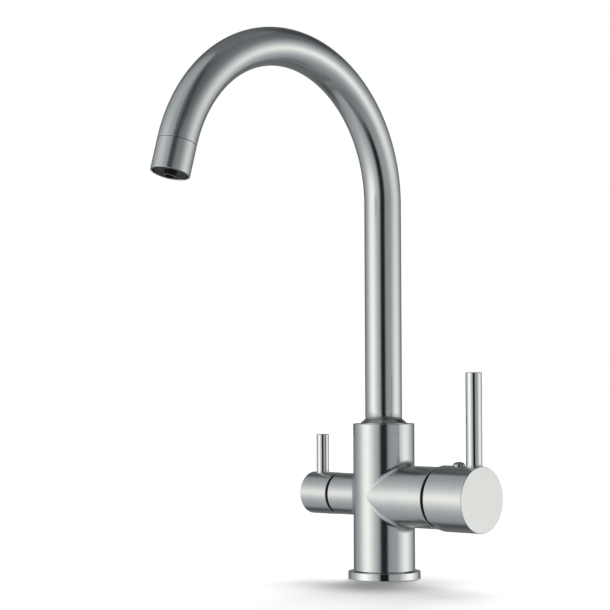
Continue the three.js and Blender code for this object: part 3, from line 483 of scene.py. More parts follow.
def mesh_object(name, sheets, material):
    """One smooth mesh of several sheets, joined where their points meet."""
    vertices, faces, coordinates = [], [], []
    start = 0
    for sheet in sheets:
        rows, columns = sheet.points.shape[:2]
        spans = columns if sheet.wraps else columns - 1
        i, j = np.meshgrid(np.arange(rows - 1), np.arange(spans), indexing="ij")
        after = (j + 1) % columns
        quad = np.stack([
            i * columns + j,
            i * columns + after,
            (i + 1) * columns + after,
            (i + 1) * columns + j,
        ], axis=-1)
        if sheet.uv is None:
            u0, u1 = j / spans, (j + 1) / spans
            v0, v1 = sheet.along[i], sheet.along[i + 1]
            corners = [np.stack(pair, -1) for pair in ((u0, v0), (u1, v0), (u1, v1), (u0, v1))]
        else:
            uv = sheet.uv
            corners = [uv[i, j], uv[i, after], uv[i + 1, after], uv[i + 1, j]]
        vertices.append(sheet.points.reshape(-1, 3))
        faces.append(quad.reshape(-1, 4) + start)
        coordinates.append(np.stack(corners, axis=2).reshape(-1, 2))
        start += rows * columns
    mesh = bpy.data.meshes.new(name)
    mesh.from_pydata(np.vstack(vertices) * MM, [], np.vstack(faces))
    layer = mesh.uv_layers.new(name="surface")
    layer.data.foreach_set("uv", np.vstack(coordinates).reshape(-1))
    work = bmesh.new()
    work.from_mesh(mesh)
    bmesh.ops.remove_doubles(work, verts=work.verts, dist=MERGE)
    bmesh.ops.dissolve_degenerate(work, edges=work.edges, dist=MERGE)
    work.to_mesh(mesh)
    work.free()
    mesh.shade_smooth()
    mesh.materials.append(material)
    thing = bpy.data.objects.new(name, mesh)
    bpy.context.scene.collection.objects.link(thing)
    return thing


def piece(name, sheets, material, body, slot, *nodes):
    """A finished piece: it rides on a body and stands for the nodes named."""
    thing = mesh_object(name, sheets, material)
    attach(thing, body)
    if nodes:
        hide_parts(*nodes)


# ---------------------------------------------------------------- shader maths

# A mix node has sockets for numbers, for vectors and for colours: these are for colours
MIX_FIRST = 6
MIX_SECOND = 7
MIX_RESULT = 2


class Value:
    """An output of a shader node that takes part in arithmetic."""

    def __init__(self, graph, socket):
        self.graph = graph
        self.socket = socket

    def math(self, operation, *others):
        """Result of a math node that takes this value first."""
        return self.graph.math(operation, self, *others)

    def __add__(self, other):
        return self.math("ADD", other)

    def __sub__(self, other):
        return self.math("SUBTRACT", other)

    def __mul__(self, other):
        return self.math("MULTIPLY", other)

    def __truediv__(self, other):
        return self.math("DIVIDE", other)

    def __rsub__(self, other):
        return self.graph.math("SUBTRACT", other, self)

    def __rtruediv__(self, other):
        return self.graph.math("DIVIDE", other, self)

    __radd__ = __add__
    __rmul__ = __mul__

    def smooth(self, low, high):
        """Rises smoothly from 0 at low to 1 at high."""
        settings = {"interpolation_type": "SMOOTHSTEP"}
        return self.graph.node("ShaderNodeMapRange", settings, self, low, high, 0, 1)

    def bell(self, width):
        """One at zero, falling to a little over a third at the width on either side."""
        share = self / width
        return (share * share * -1).math("EXPONENT")

    def tail(self, width):
        """One at zero and a half at the width on either side, with long flanks."""
        share = self / width
        return 1 / (share * share + 1)

    def within(self, low, high, soft):
        """One between low and high, with soft edges, and nothing outside."""
        return self.smooth(low - soft, low + soft) * (1 - self.smooth(high - soft, high + soft))


class Graph:
    """The node tree of a material or of the world."""

    def __init__(self, owner):
        owner.use_nodes = True
        self.tree = owner.node_tree
        self.tree.nodes.clear()

    def node(self, kind, settings, *values, output=0, **named):
        """An output of a new node; its inputs are given in their order or by name."""
        made = self.tree.nodes.new(kind)
        for key, setting in settings.items():
            setattr(made, key, setting)
        for index, value in enumerate(values):
            self.put(made.inputs[index], value)
        for key, value in named.items():
            self.put(made.inputs[key.replace("_", " ")], value)
        return Value(self, made.outputs[output])

    def put(self, socket, value):
        """Links a value to an input, or sets the input where the value is fixed."""
        if isinstance(value, Value):
            self.tree.links.new(value.socket, socket)
        else:
            socket.default_value = value

    def math(self, operation, *values):
        """Result of a math node."""
        return self.node("ShaderNodeMath", {"operation": operation}, *values)

    def parts(self, vector):
        """The three numbers of a vector."""
        made = self.node("ShaderNodeSeparateXYZ", {}, vector).socket.node
        return [Value(self, output) for output in made.outputs]

    def spot(self):
        """Place on the object, in metres."""
        return self.node("ShaderNodeTexCoord", {}, output="Object")

    def surface(self):
        """Share of the turn, and length along the outline in metres."""
        return self.parts(self.node("ShaderNodeUVMap", {"uv_map": "surface"}))[:2]

    def shown(self):
        """One for the camera and for rays mirrored or let through, nothing for light that falls on
        the object."""
        path = self.node("ShaderNodeLightPath", {}).socket.node
        camera, glossy, through = (Value(self, path.outputs[name]) for name in (
            "Is Camera Ray", "Is Glossy Ray", "Is Transmission Ray"))
        return camera.math("MAXIMUM", glossy).math("MAXIMUM", through)

    def noise(self, vector, scale, detail=2.0, roughness=0.5):
        """Soft noise between 0 and 1."""
        return self.node("ShaderNodeTexNoise", {}, Vector=vector, Scale=scale, Detail=detail,
                         Roughness=roughness)

    def mixed(self, factor, first, second):
        """Colour between two colours; the factor may vary."""
        made = self.node("ShaderNodeMix", {"data_type": "RGBA"}, factor).socket.node
        self.put(made.inputs[MIX_FIRST], first)
        self.put(made.inputs[MIX_SECOND], second)
        return Value(self, made.outputs[MIX_RESULT])

    def finish(self, kind, surface):
        """Ends the tree in an output node of the kind."""
        end = self.tree.nodes.new(kind)
        self.tree.links.new(surface.socket, end.inputs["Surface"])


def grey(level, tint=(1, 1, 1)):
    """Opaque colour of a level, with a tint."""
    return (level * tint[0], level * tint[1], level * tint[2], 1)


# ---------------------------------------------------------------- finishes

def turned_grain(graph, across, around):
    """Fine lines that run round a piece: noise that is drawn out along the turn."""
    turn, length = graph.surface()
    turn *= TURN
    vector = graph.node("ShaderNodeCombineXYZ", {}, turn.math("COSINE") * around,
                        turn.math("SINE") * around, length * across)
    return graph.noise(vector, 1.0, detail=4.0, roughness=0.6)


def nickel(name, level, roughness, grain, lift):
    """Nickel plate with lines of the finishing belt round it; the lines change its roughness, its
    brightness and, where it has a lift, its slope."""
    material = bpy.data.materials.new(name)
    graph = Graph(material)
    lines = turned_grain(graph, *LINE_GRAIN)
    cloud = turned_grain(graph, *CLOUD_GRAIN)
    shade = (lines - 0.5) * grain + (cloud - 0.5) * grain
    dark = grey(level * NICKEL_DARK, NICKEL_TINT)
    light = grey(min(1, level * NICKEL_LIGHT), NICKEL_TINT)
    color = graph.mixed(shade + 0.5, dark, light)
    bump = graph.node("ShaderNodeBump", {}, Strength=lift, Distance=GRAIN_HEIGHT, Height=lines)
    shader = graph.node("ShaderNodeBsdfPrincipled", {}, Base_Color=color, Metallic=1.0, Normal=bump,
                        Roughness=(lines - 0.5) * (grain * NICKEL_ROUGH) + roughness)
    graph.finish("ShaderNodeOutputMaterial", shader)
    return material


def plain(name, color, roughness, lift=0.1, metallic=0.0, stripe=None):
    """Plastic, rubber, ceramic or turned metal: a fine grain on a plain colour, and a pale stripe
    between two lengths (millimetres) along the outline, where one is given."""
    material = bpy.data.materials.new(name)
    graph = Graph(material)
    grain = graph.noise(graph.spot(), PLAIN_GRAIN)
    shade = graph.mixed(grain, grey(PLAIN_DARK, color), (*color, 1))
    if stripe:
        length = graph.surface()[1]
        pale = length.within(stripe[0] * MM, stripe[1] * MM, STRIPE_SOFTNESS * MM)
        shade = graph.mixed(pale, shade, grey(STRIPE_GREY))
    bump = graph.node("ShaderNodeBump", {}, Strength=lift, Distance=GRAIN_HEIGHT, Height=grain)
    shader = graph.node("ShaderNodeBsdfPrincipled", {}, Base_Color=shade, Metallic=metallic,
                        Roughness=(grain - 0.5) * PLAIN_ROUGH + roughness, Normal=bump)
    graph.finish("ShaderNodeOutputMaterial", shader)
    return material


def sieve(name):
    """Black plastic with a fine square mesh across the outlet: along the outlet's own two axes a
    sine wave passes zero at every wire, and the wires are paler and smoother than the holes."""
    material = bpy.data.materials.new(name)
    graph = Graph(material)
    spot = graph.spot()
    wires = 0
    for axis in (OUTLET[:3, 0], OUTLET[:3, 1]):
        along = graph.node("ShaderNodeVectorMath", {"operation": "DOT_PRODUCT"}, spot, tuple(axis),
                           output="Value")
        wave = (along * (math.pi / (MESH_PITCH * MM))).math("SINE").math("ABSOLUTE")
        wires = (1 - wave.smooth(*WIRE_EDGE)).math("MAXIMUM", wires)
    shade = graph.mixed(wires, grey(HOLE_GREY), grey(WIRE_GREY))
    bump = graph.node("ShaderNodeBump", {}, Strength=WIRE_STRENGTH, Distance=WIRE_HEIGHT,
                      Height=wires)
    shader = graph.node("ShaderNodeBsdfPrincipled", {}, Base_Color=shade, Normal=bump,
                        Roughness=HOLE_ROUGH - wires * (HOLE_ROUGH - WIRE_ROUGH))
    graph.finish("ShaderNodeOutputMaterial", shader)
    return material


SATIN = nickel("satin_nickel", level=0.62, roughness=0.17, grain=0.4, lift=0.05)
TUBE = nickel("tube_nickel", level=0.62, roughness=0.17, grain=0.25, lift=0.03)
POLISHED = nickel("polished_nickel", level=0.68, roughness=0.05, grain=0.12, lift=0.0)
MIRROR = nickel("plug_nickel", level=0.42, roughness=0.03, grain=0.05, lift=0.0)
DARK = nickel("dark_nickel", level=0.42, roughness=0.09, grain=0.2, lift=0.02)
BLACK = plain("black_plastic", (0.012, 0.012, 0.014), roughness=0.4)
MESH = sieve("outlet_mesh")
# The nozzle's outline runs over the floor and the wall of its bore to its flat end, the stripe
END_START = NOZZLE_BORE + NOZZLE_DEPTH
END_STRIPE = (END_START, END_START + NOZZLE_RADIUS - NOZZLE_BORE)
LIP = plain("nozzle_plastic", (0.015, 0.015, 0.017), roughness=0.3, stripe=END_STRIPE)
STEEL = plain("turned_steel", (0.5, 0.51, 0.52), roughness=0.3, lift=0.05, metallic=1.0)
BRASS = plain("turned_brass", (0.72, 0.56, 0.28), roughness=0.3, lift=0.05, metallic=1.0)
WHITE = plain("white_plastic", (0.8, 0.8, 0.76), roughness=0.4)
CERAMIC = plain("ceramic", (0.85, 0.83, 0.76), roughness=0.2, lift=0.02)
RUBBER = plain("rubber", (0.02, 0.02, 0.02), roughness=0.7)


# ---------------------------------------------------------------- body

def quarter_plate(xside, yside, hole, outer):
    """A quarter of the underside: rays from the rim of its hole to its own edge, which is the
    nearer of the two cross lines and the round rim. Three more rays meet the quarter's corners."""
    middle = np.array([xside, yside]) * INLET_OFFSET
    corner = np.array([(0, 0), (xside * outer, 0), (0, yside * outer)]) - middle
    angle = np.arctan2(corner[:, 1], corner[:, 0])
    angle = np.sort(np.concatenate([np.arange(FEW_SIDES) / FEW_SIDES * TURN, angle % TURN]))
    ray = np.stack([np.cos(angle), np.sin(angle)], axis=-1)
    along = ray @ middle
    to_rim = -along + np.sqrt(along ** 2 + outer ** 2 - middle @ middle)
    with np.errstate(divide="ignore", invalid="ignore"):
        to_lines = -middle / ray
    to_lines[to_lines <= 0] = np.inf
    edge = np.minimum(to_rim, to_lines.min(axis=1))
    share = np.linspace(0, 1, PLATE_ROWS)[:, None]
    reach = hole * (1 - share) + edge * share
    points = np.stack([
        middle[0] + reach * ray[:, 0],
        middle[1] + reach * ray[:, 1],
        0 * reach,
    ], axis=-1)
    return Sheet(points[::-1], share[:, 0] * outer * MM)


def underside():
    """The underside with its three hose sockets and the stud hole, each a turned pocket."""
    sheets = []
    for xside, yside in ((1, 1), (1, -1), (-1, 1), (-1, -1)):
        radius, depth = STUD_HOLE if xside + yside == -2 else HOSE_SOCKET
        sheets.append(quarter_plate(xside, yside, radius, BASE_SPIGOT))
        pocket = rounded([(0, depth, 0), (radius, depth, FINE_EDGE), (radius, 0, 0)])
        middle = place((xside * INLET_OFFSET, yside * INLET_OFFSET, 0), (0, 0, 1))
        sheets.append(turned(pocket, middle, FEW_SIDES))
    return sheets


def add_column():
    """Column with the hole of the filtered-water valve at its side, the hole of the screw at its
    back, the socket of the spout in its top and its underside."""
    valve, valve_side = pierced(COLUMN_RADIUS, TURN / 2, HANDLE_HEIGHT, VALVE_HOLE,
                                FILTER_BORE_FLOOR)
    lock, lock_side = pierced(COLUMN_RADIUS, TURN / 4, LOCK_HEIGHT, LOCK_HOLE, SOCKET_RADIUS)
    below = rounded([
        (BASE_SPIGOT, 0, 0),
        (BASE_SPIGOT, COLUMN_FOOT, SHARP_EDGE),
        (COLUMN_RADIUS, COLUMN_FOOT, BROKEN_EDGE),
        (COLUMN_RADIUS, HANDLE_HEIGHT - valve_side, 0),
    ])
    between = np.array([
        (COLUMN_RADIUS, HANDLE_HEIGHT + valve_side),
        (COLUMN_RADIUS, LOCK_HEIGHT - lock_side),
    ])
    above = rounded([
        (COLUMN_RADIUS, LOCK_HEIGHT + lock_side, 0),
        (COLUMN_RADIUS, COLUMN_TOP, SHOULDER_EDGE),
        (SOCKET_RADIUS, COLUMN_TOP, EASED_EDGE),
        (SOCKET_RADIUS, COLUMN_TOP - SOCKET_DEPTH, SHARP_EDGE),
        (0, COLUMN_TOP - SOCKET_DEPTH, 0),
    ])
    column = [turned(below), turned(between), turned(above)] + valve + lock + underside()
    piece("column", column, SATIN, "tap_body", "satin_nickel", "body_casting")


def neck_fillet(neck_radius, matrix):
    """The face of a ball that rolls in the corner of column and neck: at angle a its centre is on
    both offset walls, and the arc runs between the points where it touches them. It is closed
    behind, inside the metal."""
    angle = np.arange(SIDES) / SIDES * TURN
    x = (neck_radius + FILLET) * np.cos(angle)
    y = (neck_radius + FILLET) * np.sin(angle)
    z = np.sqrt((COLUMN_RADIUS + FILLET) ** 2 - y ** 2)
    centre = np.stack([x, y, z], axis=-1)
    to_column = -np.stack([0 * y, y, z], axis=-1) / (COLUMN_RADIUS + FILLET)
    to_neck = -np.stack([x, y, 0 * z], axis=-1) / (neck_radius + FILLET)
    opening = np.arccos(np.clip((to_column * to_neck).sum(-1), -1, 1))[None, :, None]
    steps = np.linspace(0, 1, FILLET_STEPS + 1)
    steps = np.insert(steps, [1, FILLET_STEPS], [FILLET_GUARD, 1 - FILLET_GUARD])
    share = steps[:, None, None]
    blend = np.sin((1 - share) * opening) * to_column + np.sin(share * opening) * to_neck
    points = centre + blend / np.sin(opening) * (FILLET + FILLET_LIFT)
    behind = centre + (to_column + to_neck)[None] * (FILLET + FILLET_BACK)
    points = np.vstack([points, behind, points[:1]])
    return Sheet(moved(points, matrix), np.append(steps, FILLET_BACK_STEPS) * FILLET * MM)


def add_neck(name, radius, end, bore, floor, matrix):
    """A side neck with its bore, and the fillet that joins it to the column."""
    neck = rounded([
        (0, 0, 0),
        (radius, 0, SHARP_EDGE),
        (radius, end, SHOULDER_EDGE),
        (bore, end, FINE_EDGE),
        (bore, floor, SHARP_EDGE),
        (0, floor, 0),
    ])
    sheets = [turned(neck, matrix), neck_fillet(radius, matrix)]
    piece(name, sheets, SATIN, "tap_body", "satin_nickel")


def add_foot_ring():
    """Polished ring at the foot, with the groove of its seal."""
    bore = BASE_SPIGOT + BASE_PLAY
    ring = rounded([
        (bore, 0, SHARP_EDGE),
        (SEAL_INNER, 0, SHARP_EDGE),
        (SEAL_INNER, SEAL_DEPTH, SHARP_EDGE),
        (SEAL_OUTER, SEAL_DEPTH, SHARP_EDGE),
        (SEAL_OUTER, 0, SHARP_EDGE),
        (BASE_RADIUS, 0, EASED_EDGE),
        (BASE_RADIUS, BASE_HEIGHT, END_EDGE),
        (bore, BASE_HEIGHT, SHARP_EDGE),
    ], closed=True)
    piece("foot_ring", [turned(ring)], POLISHED, "tap_body", "polished_nickel", "base_ring")


def add_gap_ring(node, neck_end, radius, bore, depth, matrix):
    """Dark ring in the gap between a neck and its handle."""
    start = neck_end + RING_PLAY
    ring = rounded([
        (bore, start, SHARP_EDGE),
        (radius, start, SHARP_EDGE),
        (radius, start + depth, FINE_EDGE),
        (bore, start + depth, SHARP_EDGE),
    ], closed=True)
    sheets = [turned(ring, matrix, FEW_SIDES)]
    piece("dark_" + node, sheets, BLACK, "tap_body", "black_plastic", node)


# ---------------------------------------------------------------- spout

def add_tube():
    """Spout tube with its bore, closed by a flat ring at either end."""
    outside = swept(TUBE_RADIUS, BEND_STEPS, TUBE_BEVEL)
    inside = swept(TUBE_BORE, BORE_STEPS)
    sheets = [
        outside,
        Sheet(inside.points[::-1], inside.along),
        Sheet(np.stack([outside.points[-1], inside.points[-1]]), outside.along[:2]),
        Sheet(np.stack([inside.points[0], outside.points[0]]), outside.along[:2]),
    ]
    piece("spout", sheets, TUBE, "spout", "satin_nickel", "spout_tube")


def add_cone():
    """Dark cone ring between column and spout."""
    bore = TUBE_RADIUS + CONE_PLAY
    cone = rounded([
        (bore, TUBE_BOTTOM, SHARP_EDGE),
        (CONE_RADIUS, TUBE_BOTTOM, SHARP_EDGE),
        (CONE_RADIUS, CONE_EDGE, SHARP_EDGE),
        (CONE_LAND, CONE_TOP, SHARP_EDGE),
        (bore, CONE_TOP, KEEN_EDGE),
    ], closed=True)
    piece("cone", [turned(cone)], DARK, "spout", "dark_nickel", "spout_cone_ring")


def add_collar():
    """Collar of the outlet, with a lip that turns in at its lower end."""
    lip_top = COLLAR_LIP_DEPTH - COLLAR_LENGTH
    collar = rounded([
        (COLLAR_LIP, -COLLAR_LENGTH, BROKEN_EDGE),
        (TUBE_RADIUS, -COLLAR_LENGTH, SHOULDER_EDGE),
        (TUBE_RADIUS, -SEAM, KEEN_EDGE),
        (COLLAR_BORE, -SEAM, KEEN_EDGE),
        (COLLAR_BORE, lip_top, SHARP_EDGE),
        (COLLAR_LIP, lip_top, SHARP_EDGE),
    ], closed=True)
    sheets = [turned(collar, OUTLET)]
    piece("outlet_collar", sheets, TUBE, "spout", "satin_nickel", "aerator_collar")


def add_seam_shadow():
    """Black ring in the gap between tube and collar: a painted shadow, where the gap's shade falls.
    """
    inner = COLLAR_BORE + SEAM_PLAY
    outer = TUBE_RADIUS - SEAM_INSET
    seam = rounded([
        (inner, -SEAM, SEAM_EDGE),
        (outer, -SEAM, SEAM_EDGE),
        (outer, 0, SEAM_EDGE),
        (inner, 0, SEAM_EDGE),
    ], closed=True)
    piece("outlet_seam_shadow", [turned(seam, OUTLET)], BLACK, "spout", "black_plastic")


def add_grille():
    """Insert of the outlet: a mesh inside a rim, with a well round the nozzle."""
    well = NOZZLE_RADIUS + WELL_PLAY
    insert = rounded([
        (0, INSERT_LEVEL + WELL_DEPTH, 0),
        (well, INSERT_LEVEL + WELL_DEPTH, SHARP_EDGE),
        (well, INSERT_LEVEL + MESH_RECESS, FINE_EDGE),
        (INSERT_RADIUS - MESH_INSET, INSERT_LEVEL + MESH_RECESS, SHARP_EDGE),
        (INSERT_RADIUS - INSERT_RIM, INSERT_LEVEL, FINE_EDGE),
        (INSERT_RADIUS, INSERT_LEVEL, FINE_EDGE),
        (INSERT_RADIUS, INSERT_LEVEL + INSERT_DEPTH, FINE_EDGE),
        (0, INSERT_LEVEL + INSERT_DEPTH, 0),
    ])
    sheets = [turned(insert, OUTLET)]
    piece("outlet_grille", sheets, MESH, "spout", "black_plastic", "aerator_insert")


def add_nozzle():
    """Central nozzle of the filtered water."""
    nozzle = rounded([
        (0, NOZZLE_TIP + NOZZLE_DEPTH, 0),
        (NOZZLE_BORE, NOZZLE_TIP + NOZZLE_DEPTH, SHARP_EDGE),
        (NOZZLE_BORE, NOZZLE_TIP, BROKEN_EDGE),
        (NOZZLE_RADIUS, NOZZLE_TIP, ROUND_EDGE),
        (NOZZLE_RADIUS, INSERT_LEVEL + NOZZLE_ROOT, FINE_EDGE),
        (0, INSERT_LEVEL + NOZZLE_ROOT, 0),
    ])
    sheets = [turned(nozzle, OUTLET)]
    piece("outlet_nozzle", sheets, LIP, "spout", "black_plastic", "filter_nozzle")


# ---------------------------------------------------------------- handles

def cup_corners(radius, bore, floor, start):
    """Corners of a handle's cup, from the middle of its floor over the open rim to its outside."""
    return [
        (0, floor, 0),
        (bore, floor, ROUND_EDGE),
        (bore, start, INNER_EDGE),
        (radius, start, RIM_EDGE),
    ]


def cut_relief(points):
    """Pushes the rim outward below the relief's start, as a slanting plane cuts it; the push fades
    over the length of the wall, so that the wall stays straight."""
    depth = np.maximum(0, -points[..., 0] - RELIEF_START) * RELIEF_SLOPE
    fade = np.clip(1 - (points[..., 2] - CAP_START) / (CAP_FLOOR - CAP_START), 0, 1)
    points[..., 2] += depth * fade
    return points


def lever_sheet(radius, carrier, top, flare, matrix):
    """Round lever whose foot follows its round carrier: at a distance y beside the middle the
    carrier's wall is sqrt(carrier^2 - y^2) from its axis, and the foot sinks with it, less and
    less up to the saddle's height. Up to the flare's height the foot is wider, by the flare."""
    outline = rounded([
        (0, carrier - LEVER_ROOT, 0),
        (radius, carrier - LEVER_ROOT, SHARP_EDGE),
        *((radius, carrier + height, 0) for height in FLARE_RINGS),
        (radius, top, ROUND_EDGE),
        (0, top, 0),
    ])

    def saddle(points):
        """Sets the foot on the carrier and widens it."""
        sink = carrier - np.sqrt(carrier ** 2 - points[..., 1] ** 2)
        fade = np.clip(1 - (points[..., 2] - carrier) / SADDLE_HEIGHT, 0, 1)
        near = np.clip(1 - (points[..., 2] - carrier) / FLARE_HEIGHT, 0, 1)
        spread = 1 + flare * near ** 2 / radius
        points[..., :2] *= spread[..., None]
        points[..., 2] -= sink * fade
        return points

    return turned(outline, matrix, FEW_SIDES, saddle)


def add_cap():
    """Cap of the mixer, with a relief at the bottom of its rim."""
    cap = rounded([
        *cup_corners(CAP_RADIUS, CAP_BORE, CAP_FLOOR, CAP_START),
        (CAP_RADIUS, CAP_END, END_EDGE),
        (0, CAP_END, 0),
    ])
    sheets = [turned(cap, MIXER, reshape=cut_relief)]
    piece("cap", sheets, SATIN, "mixer_handle", "satin_nickel", "mixer_cap")


def add_lever():
    """Long lever of the mixer."""
    lever = lever_sheet(LEVER_RADIUS, CAP_RADIUS, LEVER_TOP, LEVER_FLARE,
                        standing(MIXER, LEVER_DISTANCE))
    piece("lever", [lever], POLISHED, "mixer_handle", "polished_nickel", "mixer_lever")


def add_plug():
    """Domed plug on the cap: a short wall, and a quarter of an ellipse that is turned round."""
    wall = rounded([
        (0, CAP_RADIUS - PLUG_ROOT, 0),
        (PLUG_RADIUS, CAP_RADIUS - PLUG_ROOT, SHARP_EDGE),
        (PLUG_RADIUS, CAP_RADIUS + PLUG_WALL, 0),
    ])
    angle = np.linspace(0, math.pi / 2, PLUG_ROWS)
    rise = PLUG_TOP - CAP_RADIUS - PLUG_WALL
    dome = np.stack([
        PLUG_RADIUS * np.cos(angle),
        CAP_RADIUS + PLUG_WALL + rise * np.sin(angle),
    ], axis=-1)
    dome[-1, 0] = 0
    plug = turned(np.vstack([wall, dome[1:]]), standing(MIXER, PLUG_DISTANCE), PLUG_SIDES)
    piece("plug", [plug], MIRROR, "mixer_handle", "polished_nickel", "mixer_cap_plug")


def add_knob():
    """Knob of the filtered water, with the hole of its screw on the underside."""
    screw, side = pierced(KNOB_RADIUS, TURN / 2, KNOB_SCREW_DISTANCE, KNOB_SCREW_HOLE,
                          KNOB_SCREW_FLOOR, FILTER)
    inner = rounded([
        *cup_corners(KNOB_RADIUS, KNOB_BORE, KNOB_FLOOR, KNOB_START),
        (KNOB_RADIUS, KNOB_SCREW_DISTANCE - side, 0),
    ])
    outer = rounded([
        (KNOB_RADIUS, KNOB_SCREW_DISTANCE + side, 0),
        (KNOB_RADIUS, KNOB_END, END_EDGE),
        (0, KNOB_END, 0),
    ])
    knob = [turned(inner, FILTER), turned(outer, FILTER)] + screw
    piece("knob", knob, SATIN, "filter_handle", "satin_nickel", "filter_knob")


def add_small_lever():
    """Short lever of the filtered water."""
    lever = lever_sheet(SMALL_LEVER_RADIUS, KNOB_RADIUS, SMALL_LEVER_TOP, SMALL_LEVER_FLARE,
                        standing(FILTER, SMALL_LEVER_DISTANCE))
    piece("small_lever", [lever], POLISHED, "filter_handle", "polished_nickel", "filter_lever")


# ---------------------------------------------------------------- solids that stay

def dress_solids():
    """Gives each solid the finish of its slot in the record."""
    finishes = {
        "satin_nickel": SATIN,
        "polished_nickel": POLISHED,
        "dark_nickel": DARK,
        "brass": BRASS,
        "steel": STEEL,
        "black_plastic": BLACK,
        "white_plastic": WHITE,
        "ceramic": CERAMIC,
        "rubber": RUBBER,
    }
    for part in frame["record"]["subparts"]:
        solid = frame["nodes"][part["node"]]
        for slot in solid.material_slots:
            slot.material = finishes[part["material_slot"]]


# ---------------------------------------------------------------- studio

def add_world():
    """Plain white beyond the studio, for the camera and for what mirrors or lets through."""
    world = bpy.data.worlds.new("white")
    bpy.context.scene.world = world
    graph = Graph(world)
    shader = graph.node("ShaderNodeBackground", {}, grey(1), graph.shown())
    graph.finish("ShaderNodeOutputWorld", shader)


def tent_light(x, y, z):
    """The studio's light as a function of the direction (x, y, z). Bearings are in degrees from -Y
    towards +X, rises are in degrees over the horizon, and left and right are as the camera sees
    them. The lights add up, and each shade takes its share away."""
    rise = z.math("ARCSINE") * math.degrees(1)

    def past(bearing):
        """Degrees by which the direction is past a bearing."""
        angle = math.radians(bearing)
        across = x * math.cos(angle) + y * math.sin(angle)
        toward = x * math.sin(angle) - y * math.cos(angle)
        return across.math("ARCTAN2", toward) * math.degrees(1)

    # Grey walls all round, lighter at the left and, round the horizon, at the right
    wall = past(WALL_BEARING)
    walls = wall.smooth(*WALL_START) * (1 - wall.smooth(*WALL_END)) * WALL_LIGHT + ROOM_LIGHT
    side = past(SIDE_BEARING).within(*SIDE_SPAN)
    walls += side * (rise - SIDE_RISE).tail(SIDE_HEIGHT) * SIDE_LIGHT
    # A wide soft light at the left, whose middle line slants, and a narrower one at the right
    left = past(LEFT_BEARING)
    height = rise + left * LEFT_SLANT - LEFT_RISE
    left = left.bell(LEFT_WIDTH) * height.tail(LEFT_HEIGHT) * LEFT_LIGHT
    height = rise - RIGHT_RISE
    right = past(RIGHT_BEARING).bell(RIGHT_WIDTH) * height.tail(RIGHT_HEIGHT) * RIGHT_LIGHT
    # A dark panel at the camera, with slanting sides
    panel = (past(PANEL_BEARING) + rise * PANEL_SLANT).within(*PANEL_SPAN)
    panel = panel * rise.within(*PANEL_RISES) * PANEL_SHADE
    # A dim corner high up at the right, with a wide wing, and a narrow upright slit
    corner = past(CORNER_BEARING).within(*CORNER_SPAN) * CORNER_SHADE
    corner += past(WING_BEARING).within(*WING_SPAN) * WING_SHADE
    corner *= rise.within(*CORNER_RISES)
    slit = past(SLIT_BEARING).within(*SLIT_SPAN) * SLIT_SHADE
    # Dark bands on the far side: two above the horizon, and a pair side by side below it
    high = past(HIGH_BAND_BEARING).bell(HIGH_BAND_WIDTH)
    bands = rise.within(*HIGH_BAND_RISES) * high * HIGH_BAND_SHADE
    short = past(SHORT_BAND_BEARING).bell(SHORT_BAND_WIDTH)
    bands += rise.within(*SHORT_BAND_RISES) * short * SHORT_BAND_SHADE
    first, second = (past(bearing).bell(width) * shade for bearing, width, shade in zip(
        LOW_BAND_BEARINGS, LOW_BAND_WIDTHS, LOW_BAND_SHADES))
    bands += rise.within(*LOW_BAND_RISES) * (first + second)
    return (walls + left + right) * (1 - panel) * (1 - corner) * (1 - slit) * (1 - bands)


def add_tent():
    """The studio round the object, as a tent that the camera looks through. Its dim parts are a
    little bluish."""
    material = bpy.data.materials.new("tent")
    material.cycles.emission_sampling = "NONE"
    graph = Graph(material)
    light = tent_light(*(part / (TENT_RADIUS * MM) for part in graph.parts(graph.spot())))
    color = graph.mixed(light.smooth(*TENT_BLEND), TENT_DIM_TINT, TENT_BRIGHT_TINT)
    glow = graph.node("ShaderNodeEmission", {}, color, light)
    graph.finish("ShaderNodeOutputMaterial", glow)
    height = np.radians(np.linspace(-90, 90, TENT_ROWS))
    outline = np.stack([np.cos(height), np.sin(height)], -1) * TENT_RADIUS
    outline[[0, -1], 0] = 0
    tent = mesh_object("tent", [turned(outline, sides=TENT_SIDES)], material)
    tent.visible_camera = False
    tent.visible_shadow = False


def add_sky():
    """A broad soft light from behind, which gives the floor its light and its shadow; the metal
    shows the studio only."""
    data = bpy.data.lights.new("sky", "SUN")
    data.angle = math.radians(SKY_SPREAD)
    data.energy = SKY_STRENGTH
    lamp = bpy.data.objects.new("sky", data)
    turn = Matrix.Rotation(CAMERA_YAW + math.radians(SKY_BEARING), 3, "Z")
    lamp.rotation_euler = (turn @ Matrix.Rotation(math.radians(-SKY_TILT), 3, "X")).to_euler()
    lamp.visible_glossy = False
    bpy.context.scene.collection.objects.link(lamp)


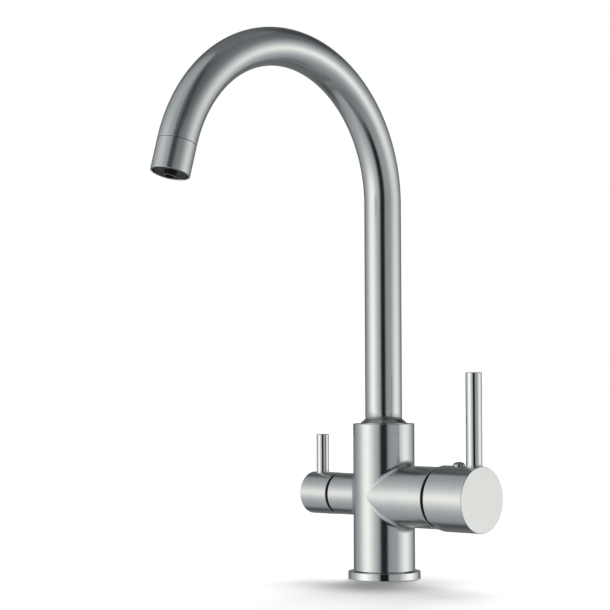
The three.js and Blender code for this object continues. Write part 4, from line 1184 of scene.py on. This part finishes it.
def add_floor():
    """Pale round floor that keeps the object's shadow; it is open to a view from below, and metal
    shows the studio's lower half in its place. The glow that makes it white is left out close to
    the foot, on the camera's side, as a painted shadow that keeps the floor dark there."""
    material = bpy.data.materials.new("floor")
    graph = Graph(material)
    paint = graph.node("ShaderNodeBsdfDiffuse", {}, grey(FLOOR_PAINT, FLOOR_TINT))
    x, y, _ = graph.parts(graph.spot())
    # Painted shadow: the glow is left out round a place in front of the foot
    across = x - PAINTED_SHADOW_PLACE * MM * math.sin(CAMERA_YAW)
    toward = y + PAINTED_SHADOW_PLACE * MM * math.cos(CAMERA_YAW)
    distance = (across * across + toward * toward).math("SQRT")
    away = distance.smooth(*(edge * MM for edge in PAINTED_SHADOW_EDGE))
    glow = graph.node("ShaderNodeEmission", {}, grey(1), graph.shown() * away * FLOOR_GLOW)
    top = graph.node("ShaderNodeAddShader", {}, paint, glow)
    from_below = graph.node("ShaderNodeNewGeometry", {}, output="Backfacing")
    clear = graph.node("ShaderNodeBsdfTransparent", {})
    shader = graph.node("ShaderNodeMixShader", {}, from_below, top, clear)
    graph.finish("ShaderNodeOutputMaterial", shader)
    radius = np.array(FLOOR_RINGS) * FLOOR_RADIUS
    disc = turned(np.stack([radius, 0 * radius - FLOOR_GAP], -1))
    floor = mesh_object("floor", [disc], material)
    floor.visible_glossy = False


def add_camera():
    """Camera of the photograph."""
    data = bpy.data.cameras.new("camera")
    data.lens = CAMERA_LENS
    data.sensor_width = CAMERA_SENSOR
    data.clip_end = CAMERA_FAR
    camera = bpy.data.objects.new("camera", data)
    camera.location = CAMERA_PLACE
    upright = Matrix.Rotation(math.pi / 2 + CAMERA_PITCH, 3, "X")
    turn = Matrix.Rotation(CAMERA_YAW, 3, "Z") @ upright
    camera.rotation_euler = (turn @ Matrix.Rotation(CAMERA_ROLL, 3, "Z")).to_euler()
    bpy.context.scene.collection.objects.link(camera)
    bpy.context.scene.camera = camera


dress_solids()

add_column()
add_neck("mixer_neck", NECK_RADIUS, NECK_END, NECK_BORE, NECK_FLOOR, MIXER)
add_neck("filter_neck", FILTER_NECK_RADIUS, FILTER_NECK_END, FILTER_BORE, FILTER_BORE_FLOOR,
         FILTER)
add_foot_ring()
add_gap_ring("mixer_gap_ring", NECK_END, MIXER_RING_RADIUS, MIXER_RING_BORE, MIXER_RING_DEPTH,
             MIXER)
add_gap_ring("filter_gap_ring", FILTER_NECK_END, FILTER_RING_RADIUS, FILTER_RING_BORE,
             FILTER_RING_DEPTH, FILTER)

add_tube()
add_cone()
add_collar()
add_seam_shadow()
add_grille()
add_nozzle()

add_cap()
add_lever()
add_plug()
add_knob()
add_small_lever()

add_world()
add_tent()
add_sky()
add_floor()
add_camera()
bpy.context.scene.view_settings.view_transform = "Standard"
